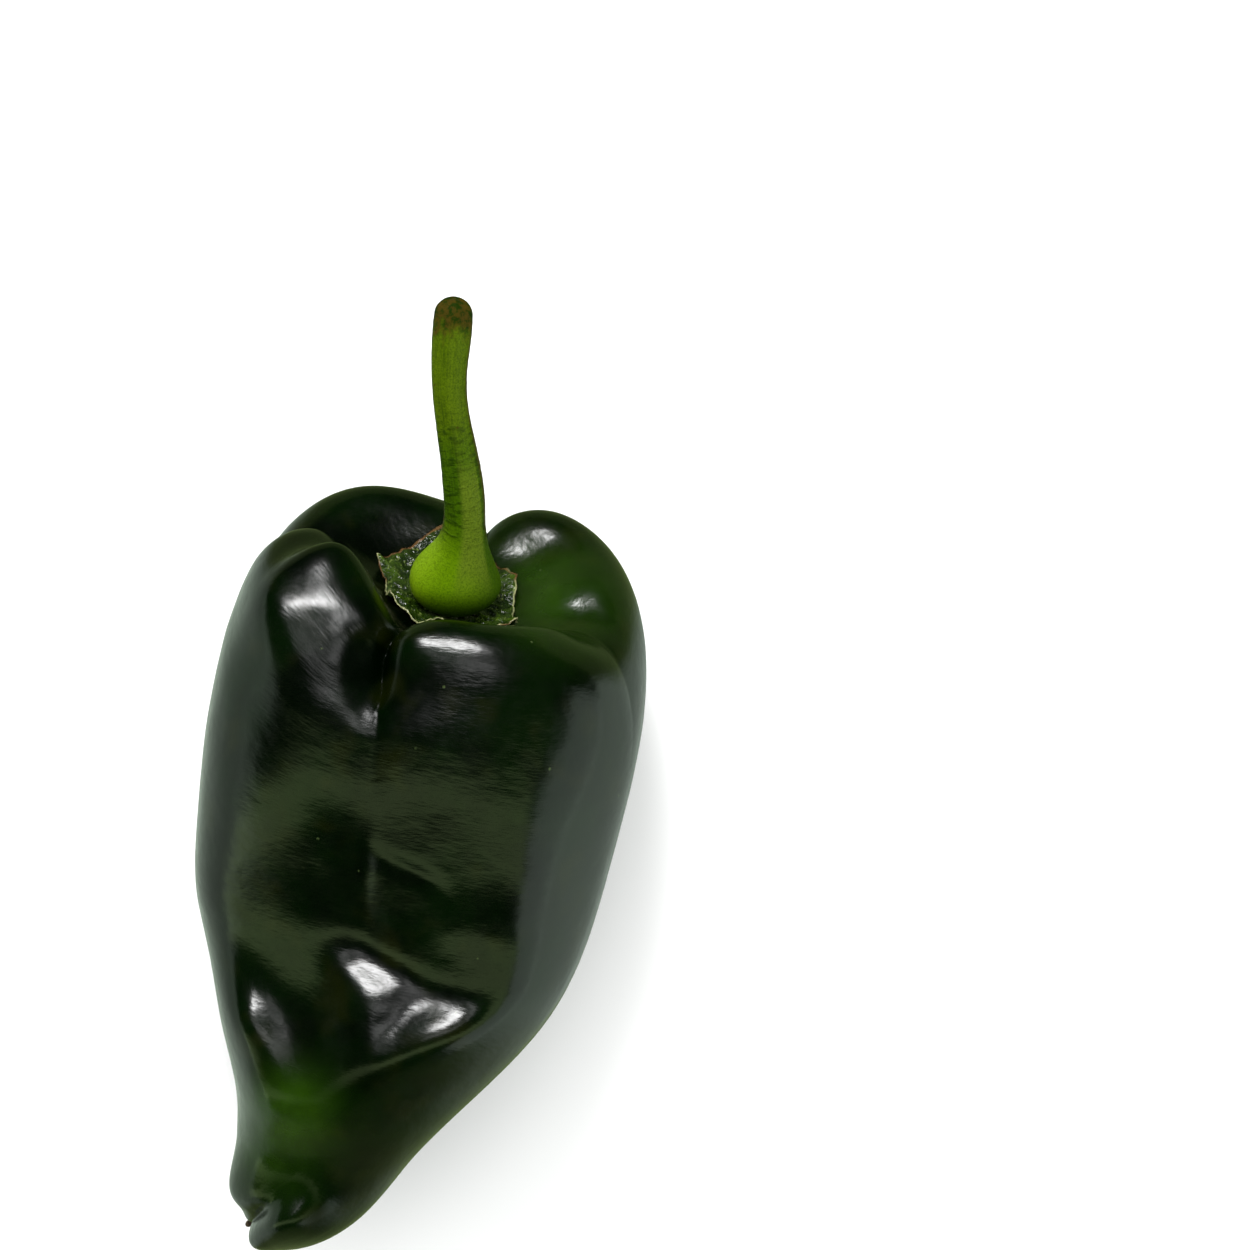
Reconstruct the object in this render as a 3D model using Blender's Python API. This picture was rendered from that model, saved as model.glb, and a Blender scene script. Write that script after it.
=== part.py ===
"""A poblano pepper, picked with its stem and lying on its side.

The row frame has +Z up, +X across the pod and +Y along it towards the cut stem.
The pod rests on z = 0 on the undersides of its two lower lobes, with its tip clear of it.
Sizes are real sizes in millimetres, and MM turns them into Blender's metres.
"""

import math
from collections import namedtuple

import bmesh
import bpy
import numpy as np
from mathutils import Matrix, Vector

MM = 0.001

# The gap kept between pieces that touch.
GAP = 0.3

# How finely the solids are divided.
POD_ROUND = 76
POD_ALONG = 50
CALYX_ROUND = 48
CALYX_ALONG = 10
STEM_ROUND = 20
STEM_ALONG = 34

# The pod's centre line, from the rim of its hollow shoulder to the blossom end, with the half
# width and half depth of its section there.
Station = namedtuple("Station", "x y z half_width half_depth")
POD_STATIONS = (
    Station(4.8, 36.0, 42.1, 36.5, 28.8),
    Station(3.3, 23.4, 36.0, 36.2, 30.4),
    Station(-0.4, 5.4, 30.5, 35.9, 32.0),
    Station(-3.6, -12.0, 28.0, 34.6, 30.0),
    Station(-7.0, -28.3, 26.9, 31.3, 27.9),
    Station(-11.6, -43.6, 26.5, 23.1, 24.0),
    Station(-15.8, -55.9, 24.5, 16.0, 18.5),
    Station(-20.3, -64.8, 23.5, 13.1, 13.5),
    Station(-27.8, -72.8, 23.0, 9.6, 10.5),
)

# Four lobes round the section, and the creases between them, as angles from +X towards the top.
# Each crease has its depth where it crosses the rim, along the side and at the blossom end.
Crease = namedtuple("Crease", "angle at_rim along_side at_tip")
CREASES = (
    Crease(18, 0.14, 0.02, 0.20),
    Crease(97, 1.00, 0.30, 1.00),
    Crease(190, 0.80, 0.80, 0.80),
    Crease(284, 1.10, 1.10, 1.10),
)
# The shares of the way from the hollow to the blossom end over which the first depth gives way to
# the second, and the second to the third.
CREASE_FADE = (0.19, 0.29)
CREASE_RETURN = (0.74, 0.86)
# How many degrees further round the upper crease lies at each share of the way from the hollow to
# the blossom end, and over how wide a range of angles the lobes beside it move with it.
UPPER_CREASE_DRIFT = (
    (0.0, 13.0), (0.15, 13.0), (0.18, 11.0), (0.22, 6.5), (0.30, 2.5), (0.38, 1.0), (0.46, 0.0),
    (0.54, -2.5), (0.60, -4.5), (1.0, -4.5),
)
UPPER_CREASE_DRIFT_WIDTH = 40.0
# How far the blossom end of each lobe stands past the scar, from the lobe after the first crease.
LOBE_TIPS = (-0.2, -3.1, -2.5, 0.3)
# How far the rim of the hollow stands out along the pod at each angle round it.
RIM_RISE = (
    (0, -2.9), (20, -5.0), (45, -1.7), (68, -0.5), (95, 1.3), (118, 3.6), (134, 10.0), (152, 6.1),
    (174, 7.8), (195, 4.8), (235, 5.0), (262, 4.8), (283, 6.7), (305, 5.8), (335, 0.2),
)
# The line from the bottom of the hollow over the shoulder to the blossom end, along a lobe and
# along a crease: the share of the section's radius, and the distance past the rim.
LOBE_LINE = (
    (0.00, 6.8), (0.14, 6.8), (0.29, 6.3), (0.42, 4.4), (0.53, 1.6), (0.66, 0.0), (0.80, 1.8),
    (0.905, 6.6), (0.97, 14.0), (1.0, 26.0), (1.0, 44.0), (1.0, 64.0), (1.0, 83.0), (1.0, 102.0),
    (0.94, 113.0), (0.64, 120.4), (0.28, 120.4), (0.00, 118.5),
)
CREASE_LINE = (
    (0.00, 6.8), (0.14, 6.8), (0.27, 6.9), (0.36, 7.3), (0.44, 7.9), (0.53, 8.6), (0.65, 10.0),
    (0.77, 13.2), (0.86, 19.5), (0.92, 30.0), (0.95, 46.0), (0.965, 65.0), (0.97, 83.0),
    (0.95, 99.5), (0.82, 110.0), (0.47, 115.4), (0.18, 118.0), (0.00, 118.5),
)
# The share of the radius at which the rim's crest stands, how far past it the rim's rise fades, as
# a multiple of the rim's own share of the way, and how much lower the rim lies for each millimetre
# that it stands out.
CREST_AT = 0.66
RIM_RISE_FADE = 1.5
RIM_RISE_DROP = 0.45
# From which share of the way on the lobes' blossom ends differ.
LOBE_TIPS_FROM = 0.8
# How square the section is: 2 is an ellipse.
SECTION_POWER = 2.45
# How slowly a lobe fills out beside its creases, and how round the bottom of a crease is, at each
# share of the way from the hollow to the blossom end.
LOBE_ROUNDNESS = ((0.0, 0.60), (0.10, 0.55), (0.16, 0.40), (0.28, 0.42), (0.50, 0.80), (1.0, 0.80))
CREASE_SOFTNESS = ((0.0, 0.30), (0.13, 0.14), (0.22, 0.26), (0.40, 0.30), (0.80, 0.40), (1.0, 0.40))
# How much further in the hollow's upper side lies, for each millimetre above its middle.
HOLLOW_LEAN = 0.21

# Mounds and hollows on the upper face, as seen from above: centre, size along and across a
# direction given as an angle from +X, and how much higher (or, if negative, lower) the skin is.
Mound = namedtuple("Mound", "name x y length width turn out")
MOUNDS = (
    Mound("left shoulder", -15.4, 40.0, 19.9, 10.9, 30, -2.7),
    Mound("right shoulder", 22.0, 38.5, 10.3, 5.2, 11, -1.9),
    Mound("right flank", 17.1, -19.1, 10.7, 17.7, -1, 3.4),
    Mound("left flank", -10.9, 8.2, 8.0, 11.7, -4, -1.1),
    Mound("waist", -4.7, -28.1, 15.6, 5.3, -28, -2.9),
    Mound("knee", 4.9, -51.2, 37.7, 14.1, 49, 3.3),
    Mound("dark hollow", -20.3, -33.8, 9.5, 10.9, -11, -3.4),
    Mound("left ridge", -30.7, -37.6, 8.2, 5.2, -54, 3.4),
    Mound("dome", 7.5, -40.7, 19.4, 5.2, 21, 3.4),
    Mound("middle knob", -9.2, -43.7, 5.5, 13.2, 1, 2.0),
    Mound("foot of the left ridge", -20.4, -53.0, 9.5, 6.7, -36, 3.4),
    Mound("left rim", -25.2, 30.8, 5.2, 15.5, 19, 3.3),
    Mound("left side", -27.4, -21.7, 10.0, 11.5, -7, -3.4),
    Mound("right of the waist", 9.4, -23.7, 13.0, 5.6, -7, -1.1),
    Mound("above the waist", -10.3, -17.1, 5.2, 11.2, 17, -2.7),
    Mound("beside the front crease", -3.8, 27.4, 5.5, 6.6, 12, 2.8),
    Mound("hollow of the right rim", 26.7, 27.0, 5.3, 5.2, 5, -3.8),
    Mound("above the dome", -1.7, -32.6, 5.2, 5.2, 0, 0.5),
    Mound("tip's left side", -27.5, -57.0, 5.0, 16.0, -4, 2.6),
    Mound("lower end", -22.5, -69.5, 11.0, 7.0, 15, 2.6),
    Mound("tip swelling", -22.0, -73.4, 7.0, 5.2, 0, 4.6),
)
# The shares of the way from the hollow over which the skin stops facing up all round the section.
RIM_FACES_UP = (0.16, 0.26)

# The calyx: a thin sheet lying on the bottom of the hollow, with a corner at each of these angles
# and distances from the middle, and edges that curve in between them.
CALYX_CORNERS = ((35, 15.0), (92, 11.6), (149, 11.0), (209, 14.2), (265, 14.6), (330, 13.2))
CALYX_EDGE_CURVE = 0.16
CALYX_THICKNESS = 0.9
CALYX_CURL = 1.0

# The stem's centre line and its radius, from its swollen foot on the calyx to its cut end.
StemStation = namedtuple("StemStation", "x y z radius")
STEM_STATIONS = (
    StemStation(6.0, 32.1, 41.1, 5.80),
    StemStation(6.1, 33.4, 42.3, 7.50),
    StemStation(6.6, 36.0, 44.4, 6.70),
    StemStation(7.5, 40.2, 47.6, 4.20),
    StemStation(7.8, 47.0, 51.6, 3.35),
    StemStation(6.9, 55.0, 54.9, 3.00),
    StemStation(5.9, 61.4, 56.9, 2.75),
    StemStation(5.6, 67.8, 58.4, 2.85),
    StemStation(6.1, 74.3, 59.4, 3.15),
    StemStation(6.5, 79.6, 59.9, 2.90),
)
STEM_RIBS = 5
STEM_RIB_HEIGHT = 0.07
# The last stretch, over which the stem is rounded off, and what is left of its radius at the very end.
STEM_END_LENGTH = 2.6
STEM_END_RADIUS = 0.35
# Above 1, the rings of the stem's mesh are closer together towards its cut end.
STEM_CROWDING = 1.3

# The dried scar of the flower, a small nub standing in the cleft at the blossom end.
SCAR_LENGTH = 1.6
SCAR_RADIUS = 0.55
SCAR_ROUND = 10
SCAR_ALONG = 8


def smooth_line(knots, values):
    """The smooth curve through values at knots, as a function of position. Values may have columns."""
    knots = np.asarray(knots, float)
    values = np.asarray(values, float)
    gaps = np.diff(knots)
    system = np.eye(len(knots))
    pull = np.zeros_like(values)
    for i in range(1, len(knots) - 1):
        system[i, i - 1 : i + 2] = gaps[i - 1], 2 * (gaps[i - 1] + gaps[i]), gaps[i]
        slope_in = (values[i] - values[i - 1]) / gaps[i - 1]
        slope_out = (values[i + 1] - values[i]) / gaps[i]
        pull[i] = 6 * (slope_out - slope_in)
    bend = np.linalg.solve(system, pull)

    def at(position):
        position = np.asarray(position, float)
        i = np.clip(np.searchsorted(knots, position, side="right") - 1, 0, len(gaps) - 1)
        gap = gaps[i]
        after = (position - knots[i]) / gap
        before = 1 - after
        if values.ndim > 1:
            gap, after, before = gap[..., None], after[..., None], before[..., None]
        straight = before * values[i] + after * values[i + 1]
        bent = (before**3 - before) * bend[i] + (after**3 - after) * bend[i + 1]
        return straight + bent * gap**2 / 6

    return at


def along(points):
    """The distance of each point from the first, going through all of them."""
    steps = np.linalg.norm(np.diff(np.asarray(points, float), axis=0), axis=1)
    return np.concatenate([[0.0], np.cumsum(steps)])


def unit(vectors):
    return vectors / np.linalg.norm(vectors, axis=-1, keepdims=True)


def smooth_step(low, high, value):
    """Rises smoothly from 0 at low to 1 at high."""
    share = np.clip((value - low) / (high - low), 0, 1)
    return share * share * (3 - 2 * share)


def smooth_ring(pairs):
    """The smooth closed curve through (angle in degrees, value) pairs, as a function of the angle."""
    angles = [angle + 360 * turn for turn in (-1, 0, 1) for angle, _ in pairs]
    values = [value for _ in range(3) for _, value in pairs]
    return smooth_line(angles, values)


class PodForm:
    """The pod's skin as a formula: a point for each share of the way from the hollow's bottom to
    the blossom end, and each angle round the section."""

    def __init__(self):
        centres = [(s.x, s.y, s.z) for s in POD_STATIONS]
        self.knots = along(centres)
        self.axis = smooth_line(self.knots, POD_STATIONS)
        section = np.array([(POD_STATIONS[1].half_width * rho, down) for rho, down in LOBE_LINE])
        self.line_knots = along(section)
        self.line_knots /= self.line_knots[-1]
        self.lobe_line = smooth_line(self.line_knots, LOBE_LINE)
        self.crease_line = smooth_line(self.line_knots, CREASE_LINE)
        self.rim_rise = smooth_ring(RIM_RISE)

    def frame(self, down):
        """Centre, half sizes and the section's across and up directions, that far past the rim."""
        inside = np.clip(down, 0.0, self.knots[-1])
        step = 0.5
        ahead = self.axis(np.clip(inside + step, 0, self.knots[-1]))[..., :3]
        behind = self.axis(np.clip(inside - step, 0, self.knots[-1]))[..., :3]
        forward = unit(ahead - behind)
        here = self.axis(inside)
        centre = here[..., :3] + (down - inside)[..., None] * forward
        across = unit(np.cross(np.array([0.0, 0.0, 1.0]), forward))
        up = np.cross(forward, across)
        return centre, here[..., 3], here[..., 4], across, up

    @staticmethod
    def round_the_section(share, angle):
        """For each angle: how far out of a crease it is (0 to 1), the crease's depth, the lobe's tip."""
        turn = np.degrees(angle) % 360
        drift = np.interp(share, *zip(*UPPER_CREASE_DRIFT))
        away = (turn - CREASES[1].angle - drift) / UPPER_CREASE_DRIFT_WIDTH
        turn = (turn - drift * np.exp(-(away**2))) % 360
        starts = np.array([c.angle for c in CREASES], float)
        i = np.searchsorted(starts, turn, side="right") - 1
        after = (i + 1) % len(CREASES)
        i = i % len(CREASES)
        width = (starts[after] - starts[i]) % 360
        across = ((turn - starts[i]) % 360) / width
        past_shoulder = smooth_step(*CREASE_FADE, share)
        near_end = smooth_step(*CREASE_RETURN, share)
        at_rim, along_side, at_tip = np.array([crease[1:] for crease in CREASES]).T
        share_of_next = smooth_step(0, 1, across)
        depth = np.zeros(np.shape(turn))
        for crease, weight in ((i, 1 - share_of_next), (after, share_of_next)):
            side = at_rim[crease] + (along_side - at_rim)[crease] * past_shoulder
            depth += weight * (side + (at_tip - along_side)[crease] * near_end)
        out = np.sin(math.pi * across)
        return out, depth, np.array(LOBE_TIPS)[i]

    def points(self, share, angle):
        """Points of the skin, in millimetres."""
        out, depth, tip = self.round_the_section(share, angle)
        softness = np.interp(share, *zip(*CREASE_SOFTNESS))
        roundness = np.interp(share, *zip(*LOBE_ROUNDNESS))
        rounded = np.sqrt(out ** (2 * roundness) + softness**2) - softness
        rounded = rounded / (np.sqrt(1 + softness**2) - softness)
        fullness = 1 - depth * (1 - rounded)
        on_lobe = self.lobe_line(share)
        in_crease = self.crease_line(share)
        rho, down = np.moveaxis(in_crease + (on_lobe - in_crease) * fullness[..., None], -1, 0)
        past_rim = share / self.rim_share() - 1
        inner_rise = (1 + past_rim) ** 3 * (1 - 3 * past_rim)
        near_rim = np.where(past_rim < 0, inner_rise, np.exp(-((past_rim / RIM_RISE_FADE) ** 2)))
        past_tip = np.clip((share - LOBE_TIPS_FROM) / (1 - LOBE_TIPS_FROM), 0, 1)
        near_tip = 16 * past_tip**2 * (1 - past_tip) ** 2
        down = down - self.rim_rise(np.degrees(angle) % 360) * near_rim + tip * out * near_tip
        cos, sin = np.cos(angle), np.sin(angle)
        in_hollow = np.where(past_rim < 0, 1 - inner_rise, 0.0)
        down = down + HOLLOW_LEAN * rho * POD_STATIONS[0].half_depth * sin * in_hollow
        centre, half_width, half_depth, across, up = self.frame(down)
        section = self.section_radius(angle)
        side = rho * half_width * section * cos
        height = rho * half_depth * section * sin
        points = centre + side[..., None] * across + height[..., None] * up
        drop = RIM_RISE_DROP * self.rim_rise(np.degrees(angle) % 360) * near_rim
        upper = np.maximum(np.clip(sin * 3, 0, 1), 1 - smooth_step(*RIM_FACES_UP, share))
        points[..., 2] += upper * self.relief(points) - drop
        points[..., 2] = np.maximum(points[..., 2], 0.0)
        return points

    def outward(self, share, angle):
        """The skin's outward direction."""
        share = np.clip(share, 0.02, 0.98)
        lengthways = self.points(share + 0.002, angle) - self.points(share - 0.002, angle)
        crossways = self.points(share, angle + 0.02) - self.points(share, angle - 0.02)
        return unit(np.cross(crossways, lengthways))

    def share_at(self, distance, angle):
        """The share of the way at which the hollow's floor lies that far from its middle."""
        rim = POD_STATIONS[0]
        ellipse = np.hypot(rim.half_width * np.cos(angle), rim.half_depth * np.sin(angle))
        radius = self.section_radius(angle) * ellipse
        rho = [rho for rho, _ in LOBE_LINE]
        inner = rho.index(CREST_AT) + 1
        return np.interp(distance / radius, rho[:inner], self.line_knots[:inner])

    @staticmethod
    def section_radius(angle):
        """The rounded square of the section, as a share of its half width and half depth."""
        cos, sin = np.abs(np.cos(angle)), np.abs(np.sin(angle))
        return (cos**SECTION_POWER + sin**SECTION_POWER) ** (-1 / SECTION_POWER)

    def rim_share(self):
        return self.line_knots[[rho for rho, _ in LOBE_LINE].index(CREST_AT)]

    @staticmethod
    def relief(points):
        """How much higher the upper face is for its mounds and hollows."""
        height = np.zeros(points.shape[:-1])
        for mound in MOUNDS:
            turn = math.radians(mound.turn)
            x = points[..., 0] - mound.x
            y = points[..., 1] - mound.y
            lengthways = (x * math.cos(turn) + y * math.sin(turn)) / mound.length
            crossways = (y * math.cos(turn) - x * math.sin(turn)) / mound.width
            height += mound.out * np.exp(-(lengthways**2) - crossways**2)
        return height


def clear_scene():
    for obj in list(bpy.data.objects):
        bpy.data.objects.remove(obj)


def plain_material(name, colour, roughness):
    material = bpy.data.materials.new(name)
    material.use_nodes = True
    shader = material.node_tree.nodes["Principled BSDF"]
    shader.inputs["Base Color"].default_value = (*colour, 1.0)
    shader.inputs["Roughness"].default_value = roughness
    shader.inputs["Metallic"].default_value = 0.0
    return material


def add_piece(name, shape, material, base, origin):
    """An object under the base, at its own origin in millimetres, for a mesh or curve in the row frame."""
    origin = Vector(origin) * MM
    shape.transform(Matrix.Translation(-origin))
    shape.materials.append(material)
    piece = bpy.data.objects.new(name, shape)
    piece.location = origin
    piece.parent = base
    base.users_collection[0].objects.link(piece)
    return piece


def reshaped_sphere(name, around, rings, place):
    """A sphere whose points are moved to place(share of the way from +Z pole to -Z pole, angle)."""
    mesh = bpy.data.meshes.new(name)
    ball = bmesh.new()
    bmesh.ops.create_uvsphere(ball, u_segments=around, v_segments=rings, radius=1.0)
    directions = np.array([v.co for v in ball.verts], float)
    share = np.arccos(np.clip(directions[:, 2], -1, 1)) / math.pi
    angle = np.arctan2(directions[:, 1], directions[:, 0]) % (2 * math.pi)
    moved = place(share, angle) * MM
    for vertex, point in zip(ball.verts, moved):
        vertex.co = point
    if ball.calc_volume(signed=True) < 0:
        bmesh.ops.reverse_faces(ball, faces=ball.faces)
    ball.to_mesh(mesh)
    ball.free()
    mesh.shade_smooth()
    return mesh


def calyx_reach(angle):
    """How far the calyx reaches from the middle of the hollow at each angle, and how near a corner is."""
    corners = np.array(CALYX_CORNERS, float)
    turn = np.degrees(angle) % 360
    i = (np.searchsorted(corners[:, 0], turn, side="right") - 1) % len(corners)
    after = (i + 1) % len(corners)
    width = (corners[after, 0] - corners[i, 0]) % 360
    share = ((turn - corners[i, 0]) % 360) / width
    between = np.sin(math.pi * share) ** 0.8
    straight = corners[i, 1] + (corners[after, 1] - corners[i, 1]) * share
    return straight * (1 - CALYX_EDGE_CURVE * between), 1 - between


def calyx_points(pod, share, angle):
    """Points of the calyx: its upper face out to the edge, then its lower face back to the middle."""
    out = 2 * np.minimum(share, 1 - share)
    reach, at_corner = calyx_reach(angle)
    floor = pod.share_at(out * reach, angle)
    thickness = np.where(share < 0.5, CALYX_THICKNESS * np.sqrt(1 - out**8), 0.0)
    lift = GAP + 0.1 + thickness + CALYX_CURL * at_corner * out**4
    return pod.points(floor, angle) + lift[..., None] * pod.outward(floor, angle)


def scar_points(pod, share, angle):
    """Points of the small nub, from its foot by the skin to its round end."""
    end = LOBE_LINE[-1][1]
    along_nub = GAP + SCAR_LENGTH * (1 - np.cos(math.pi * share)) / 2
    centre, _, _, across, up = pod.frame(end + along_nub)
    radius = SCAR_RADIUS * np.sin(math.pi * share) ** 0.8
    return centre + (radius * np.cos(angle))[..., None] * across + (radius * np.sin(angle))[..., None] * up


def ribbed_ring(name, ribs, height, around):
    """A closed curve of radius 1 mm with soft ribs, for the stem's section."""
    curve = bpy.data.curves.new(name, "CURVE")
    spline = curve.splines.new("POLY")
    spline.points.add(around - 1)
    for i, point in enumerate(spline.points):
        angle = -math.tau * i / around
        radius = MM * (1 + height * math.cos(ribs * angle))
        point.co = (radius * math.cos(angle), radius * math.sin(angle), 0.0, 1.0)
    spline.use_cyclic_u = True
    return curve


def swept_stem(name, profile, stations, steps):
    """A tube along the stations whose radius follows them, rounded off over its last stretch."""
    curve = bpy.data.curves.new(name, "CURVE")
    curve.dimensions = "3D"
    curve.bevel_mode = "OBJECT"
    curve.bevel_object = profile
    curve.use_fill_caps = True
    knots = along([station[:3] for station in stations])
    line = smooth_line(knots, stations)
    positions = knots[-1] * (1 - (1 - np.linspace(0, 1, steps)) ** STEM_CROWDING)
    spline = curve.splines.new("POLY")
    spline.points.add(steps - 1)
    for point, position in zip(spline.points, positions):
        x, y, z, radius = line(position)
        to_end = min((knots[-1] - position) / STEM_END_LENGTH, 1.0)
        point.co = (x * MM, y * MM, z * MM, 1.0)
        point.radius = radius * max(math.sqrt(1 - (1 - to_end) ** 2), STEM_END_RADIUS)
    return curve


def main():
    clear_scene()
    collection = bpy.data.collections.new("poblano_pepper")
    guides = bpy.data.collections.new("guides")
    bpy.context.scene.collection.children.link(collection)
    bpy.context.scene.collection.children.link(guides)
    base = bpy.data.objects.new("resting_place", None)
    collection.objects.link(base)
    form = PodForm()

    skin = plain_material("pod_skin", (0.012, 0.040, 0.006), 0.18)
    pod = reshaped_sphere("pod", POD_ROUND, POD_ALONG, form.points)
    add_piece("pod", pod, skin, base, (0, 0, 0))

    sheet = plain_material("calyx_green", (0.085, 0.130, 0.020), 0.45)
    calyx = reshaped_sphere(
        "calyx", CALYX_ROUND, CALYX_ALONG, lambda share, angle: calyx_points(form, share, angle)
    )
    add_piece("calyx", calyx, sheet, base, form.points(np.zeros(1), np.zeros(1))[0])

    stalk = plain_material("stem_green", (0.140, 0.230, 0.015), 0.50)
    section = ribbed_ring("stem_section", STEM_RIBS, STEM_RIB_HEIGHT, STEM_ROUND)
    ring = bpy.data.objects.new("stem_section", section)
    ring.hide_render = True
    ring.display_type = "WIRE"
    guides.objects.link(ring)
    stem = swept_stem("stem", ring, STEM_STATIONS, STEM_ALONG)
    add_piece("stem", stem, stalk, base, STEM_STATIONS[0][:3])

    dry = plain_material("dried_scar", (0.060, 0.035, 0.012), 0.80)
    nub = reshaped_sphere(
        "style_scar", SCAR_ROUND, SCAR_ALONG, lambda share, angle: scar_points(form, share, angle)
    )
    add_piece("style_scar", nub, dry, base, form.points(np.ones(1), np.zeros(1))[0])


if __name__ == "__main__":
    main()
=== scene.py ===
"""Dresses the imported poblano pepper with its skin, calyx, stalk and scar, in a pale studio.

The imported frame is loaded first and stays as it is. Each of its pieces is then modelled again in
the same place with its full detail, and gets a procedural finish. Shapes are worked out in
millimetres, and MM turns them into metres.
"""

from __future__ import annotations

import logging
import math
from collections.abc import Callable, Sequence
from dataclasses import dataclass
from enum import Enum
from typing import NamedTuple

import bpy
import numpy as np
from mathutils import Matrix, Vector, noise

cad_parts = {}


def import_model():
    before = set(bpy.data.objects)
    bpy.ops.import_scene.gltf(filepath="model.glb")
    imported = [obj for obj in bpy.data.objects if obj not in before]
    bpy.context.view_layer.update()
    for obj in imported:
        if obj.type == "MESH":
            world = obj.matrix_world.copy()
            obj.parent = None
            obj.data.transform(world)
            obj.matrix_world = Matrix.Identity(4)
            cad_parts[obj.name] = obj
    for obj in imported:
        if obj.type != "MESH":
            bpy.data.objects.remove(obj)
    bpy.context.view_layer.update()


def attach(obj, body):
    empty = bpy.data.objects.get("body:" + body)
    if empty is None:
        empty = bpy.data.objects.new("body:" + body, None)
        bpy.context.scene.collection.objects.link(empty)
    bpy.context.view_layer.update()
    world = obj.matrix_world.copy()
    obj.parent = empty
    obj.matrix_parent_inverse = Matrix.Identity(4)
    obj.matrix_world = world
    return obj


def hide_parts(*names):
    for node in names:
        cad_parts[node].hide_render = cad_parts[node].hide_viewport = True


MM = 0.001
BODY = "root"
NUMBER_SOCKETS = {int: "NodeSocketInt", float: "NodeSocketFloat"}
# How many straight steps stand for each point of a smooth path.
PATH_STEPS = 6

Array = np.ndarray
Material = bpy.types.Material
Mesh = bpy.types.Mesh
Node = bpy.types.Node
Piece = bpy.types.Object
Socket = bpy.types.NodeSocket
Tree = bpy.types.NodeTree
Pair = tuple[float, float]
Triple = tuple[float, float, float]
Colour = Triple
Place = Callable[[Array, Array], Array]

log = logging.getLogger("poblano_pepper")


class Station(NamedTuple):
    """One section of the pod: its centre, half width and half depth, in millimetres."""

    x: float
    y: float
    z: float
    half_width: float
    half_depth: float


class Crease(NamedTuple):
    """A crease between two lobes: its angle round the section in degrees, and its depth where it
    crosses the rim, along the side and at the blossom end."""

    angle: float
    at_rim: float
    along_side: float
    at_tip: float


class Mound(NamedTuple):
    """A swelling on the upper face, or a hollow where out is negative, as seen from above: its name,
    its place, its reach along and across its turn, in millimetres, and its turn from +X in degrees."""

    name: str
    x: float
    y: float
    length: float
    width: float
    turn: float
    out: float


class Fold(NamedTuple):
    """A ridge on the upper face, or a groove where out is negative, as seen from above: the places
    that it passes, its reach to either side and its height, in millimetres."""

    path: tuple[Pair, ...]
    width: float
    out: float


class Area(NamedTuple):
    """A round patch of the skin, as seen from above, in millimetres, and how strong it is."""

    x: float
    y: float
    radius: float
    amount: float


class StemStation(NamedTuple):
    """A point of the stem's centre line with the stem's radius there, in millimetres."""

    x: float
    y: float
    z: float
    radius: float


class Grain(NamedTuple):
    """A noise: how many features it has to a metre, how many finer layers and how strong they are,
    which noise it is, and how much closer its features lie along each direction. In a node tree each
    may also be an output socket."""

    scale: object
    detail: object = 2.0
    roughness: object = 0.5
    seed: object = 0.0
    crowding: Triple | None = None


class Fade(NamedTuple):
    """A smooth change from low to high while a number goes from start to end."""

    start: float
    end: float
    low: float = 0.0
    high: float = 1.0


class SmoothLine:
    """The natural cubic curve through values at knots."""

    def __init__(self, knots: Sequence[float], values: Sequence) -> None:
        """Works out the bends of the curve.

        Args:
            knots: Rising positions.
            values: A number or a row of numbers at each knot.
        """
        self.knots = np.asarray(knots, float)
        self.values = np.asarray(values, float)
        self.gaps = np.diff(self.knots)
        system = np.eye(len(self.knots))
        pull = np.zeros_like(self.values)
        for i in range(1, len(self.knots) - 1):
            before, after = self.gaps[i - 1], self.gaps[i]
            system[i, i - 1 : i + 2] = before, 2 * (before + after), after
            slope_in = (self.values[i] - self.values[i - 1]) / before
            slope_out = (self.values[i + 1] - self.values[i]) / after
            pull[i] = 6 * (slope_out - slope_in)
        self.bend = np.linalg.solve(system, pull)

    def __call__(self, position: Array | float) -> Array:
        """Reads the curve.

        Args:
            position: Where to read it, one place or many.

        Returns:
            The value, or row of values, at each place.
        """
        position = np.asarray(position, float)
        i = np.clip(np.searchsorted(self.knots, position, side="right") - 1, 0, len(self.gaps) - 1)
        gap = self.gaps[i]
        after = (position - self.knots[i]) / gap
        before = 1 - after
        if self.values.ndim > 1:
            gap, after, before = gap[..., None], after[..., None], before[..., None]
        straight = before * self.values[i] + after * self.values[i + 1]
        bent = (before**3 - before) * self.bend[i] + (after**3 - after) * self.bend[i + 1]
        return straight + bent * gap**2 / 6


def along(points: Sequence) -> Array:
    """The distance of each point from the first, going through all of them."""
    steps = np.linalg.norm(np.diff(np.asarray(points, float), axis=0), axis=1)
    return np.concatenate([[0.0], np.cumsum(steps)])


def unit(vectors: Array) -> Array:
    """Vectors of length 1 in the same directions."""
    return vectors / np.linalg.norm(vectors, axis=-1, keepdims=True)


def smooth_ring(pairs: Sequence[Pair]) -> SmoothLine:
    """The smooth closed curve through (angle in degrees, value) pairs."""
    angles = [angle + 360 * turn for turn in (-1, 0, 1) for angle, _ in pairs]
    values = [value for _ in range(3) for _, value in pairs]
    return SmoothLine(angles, values)


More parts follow.
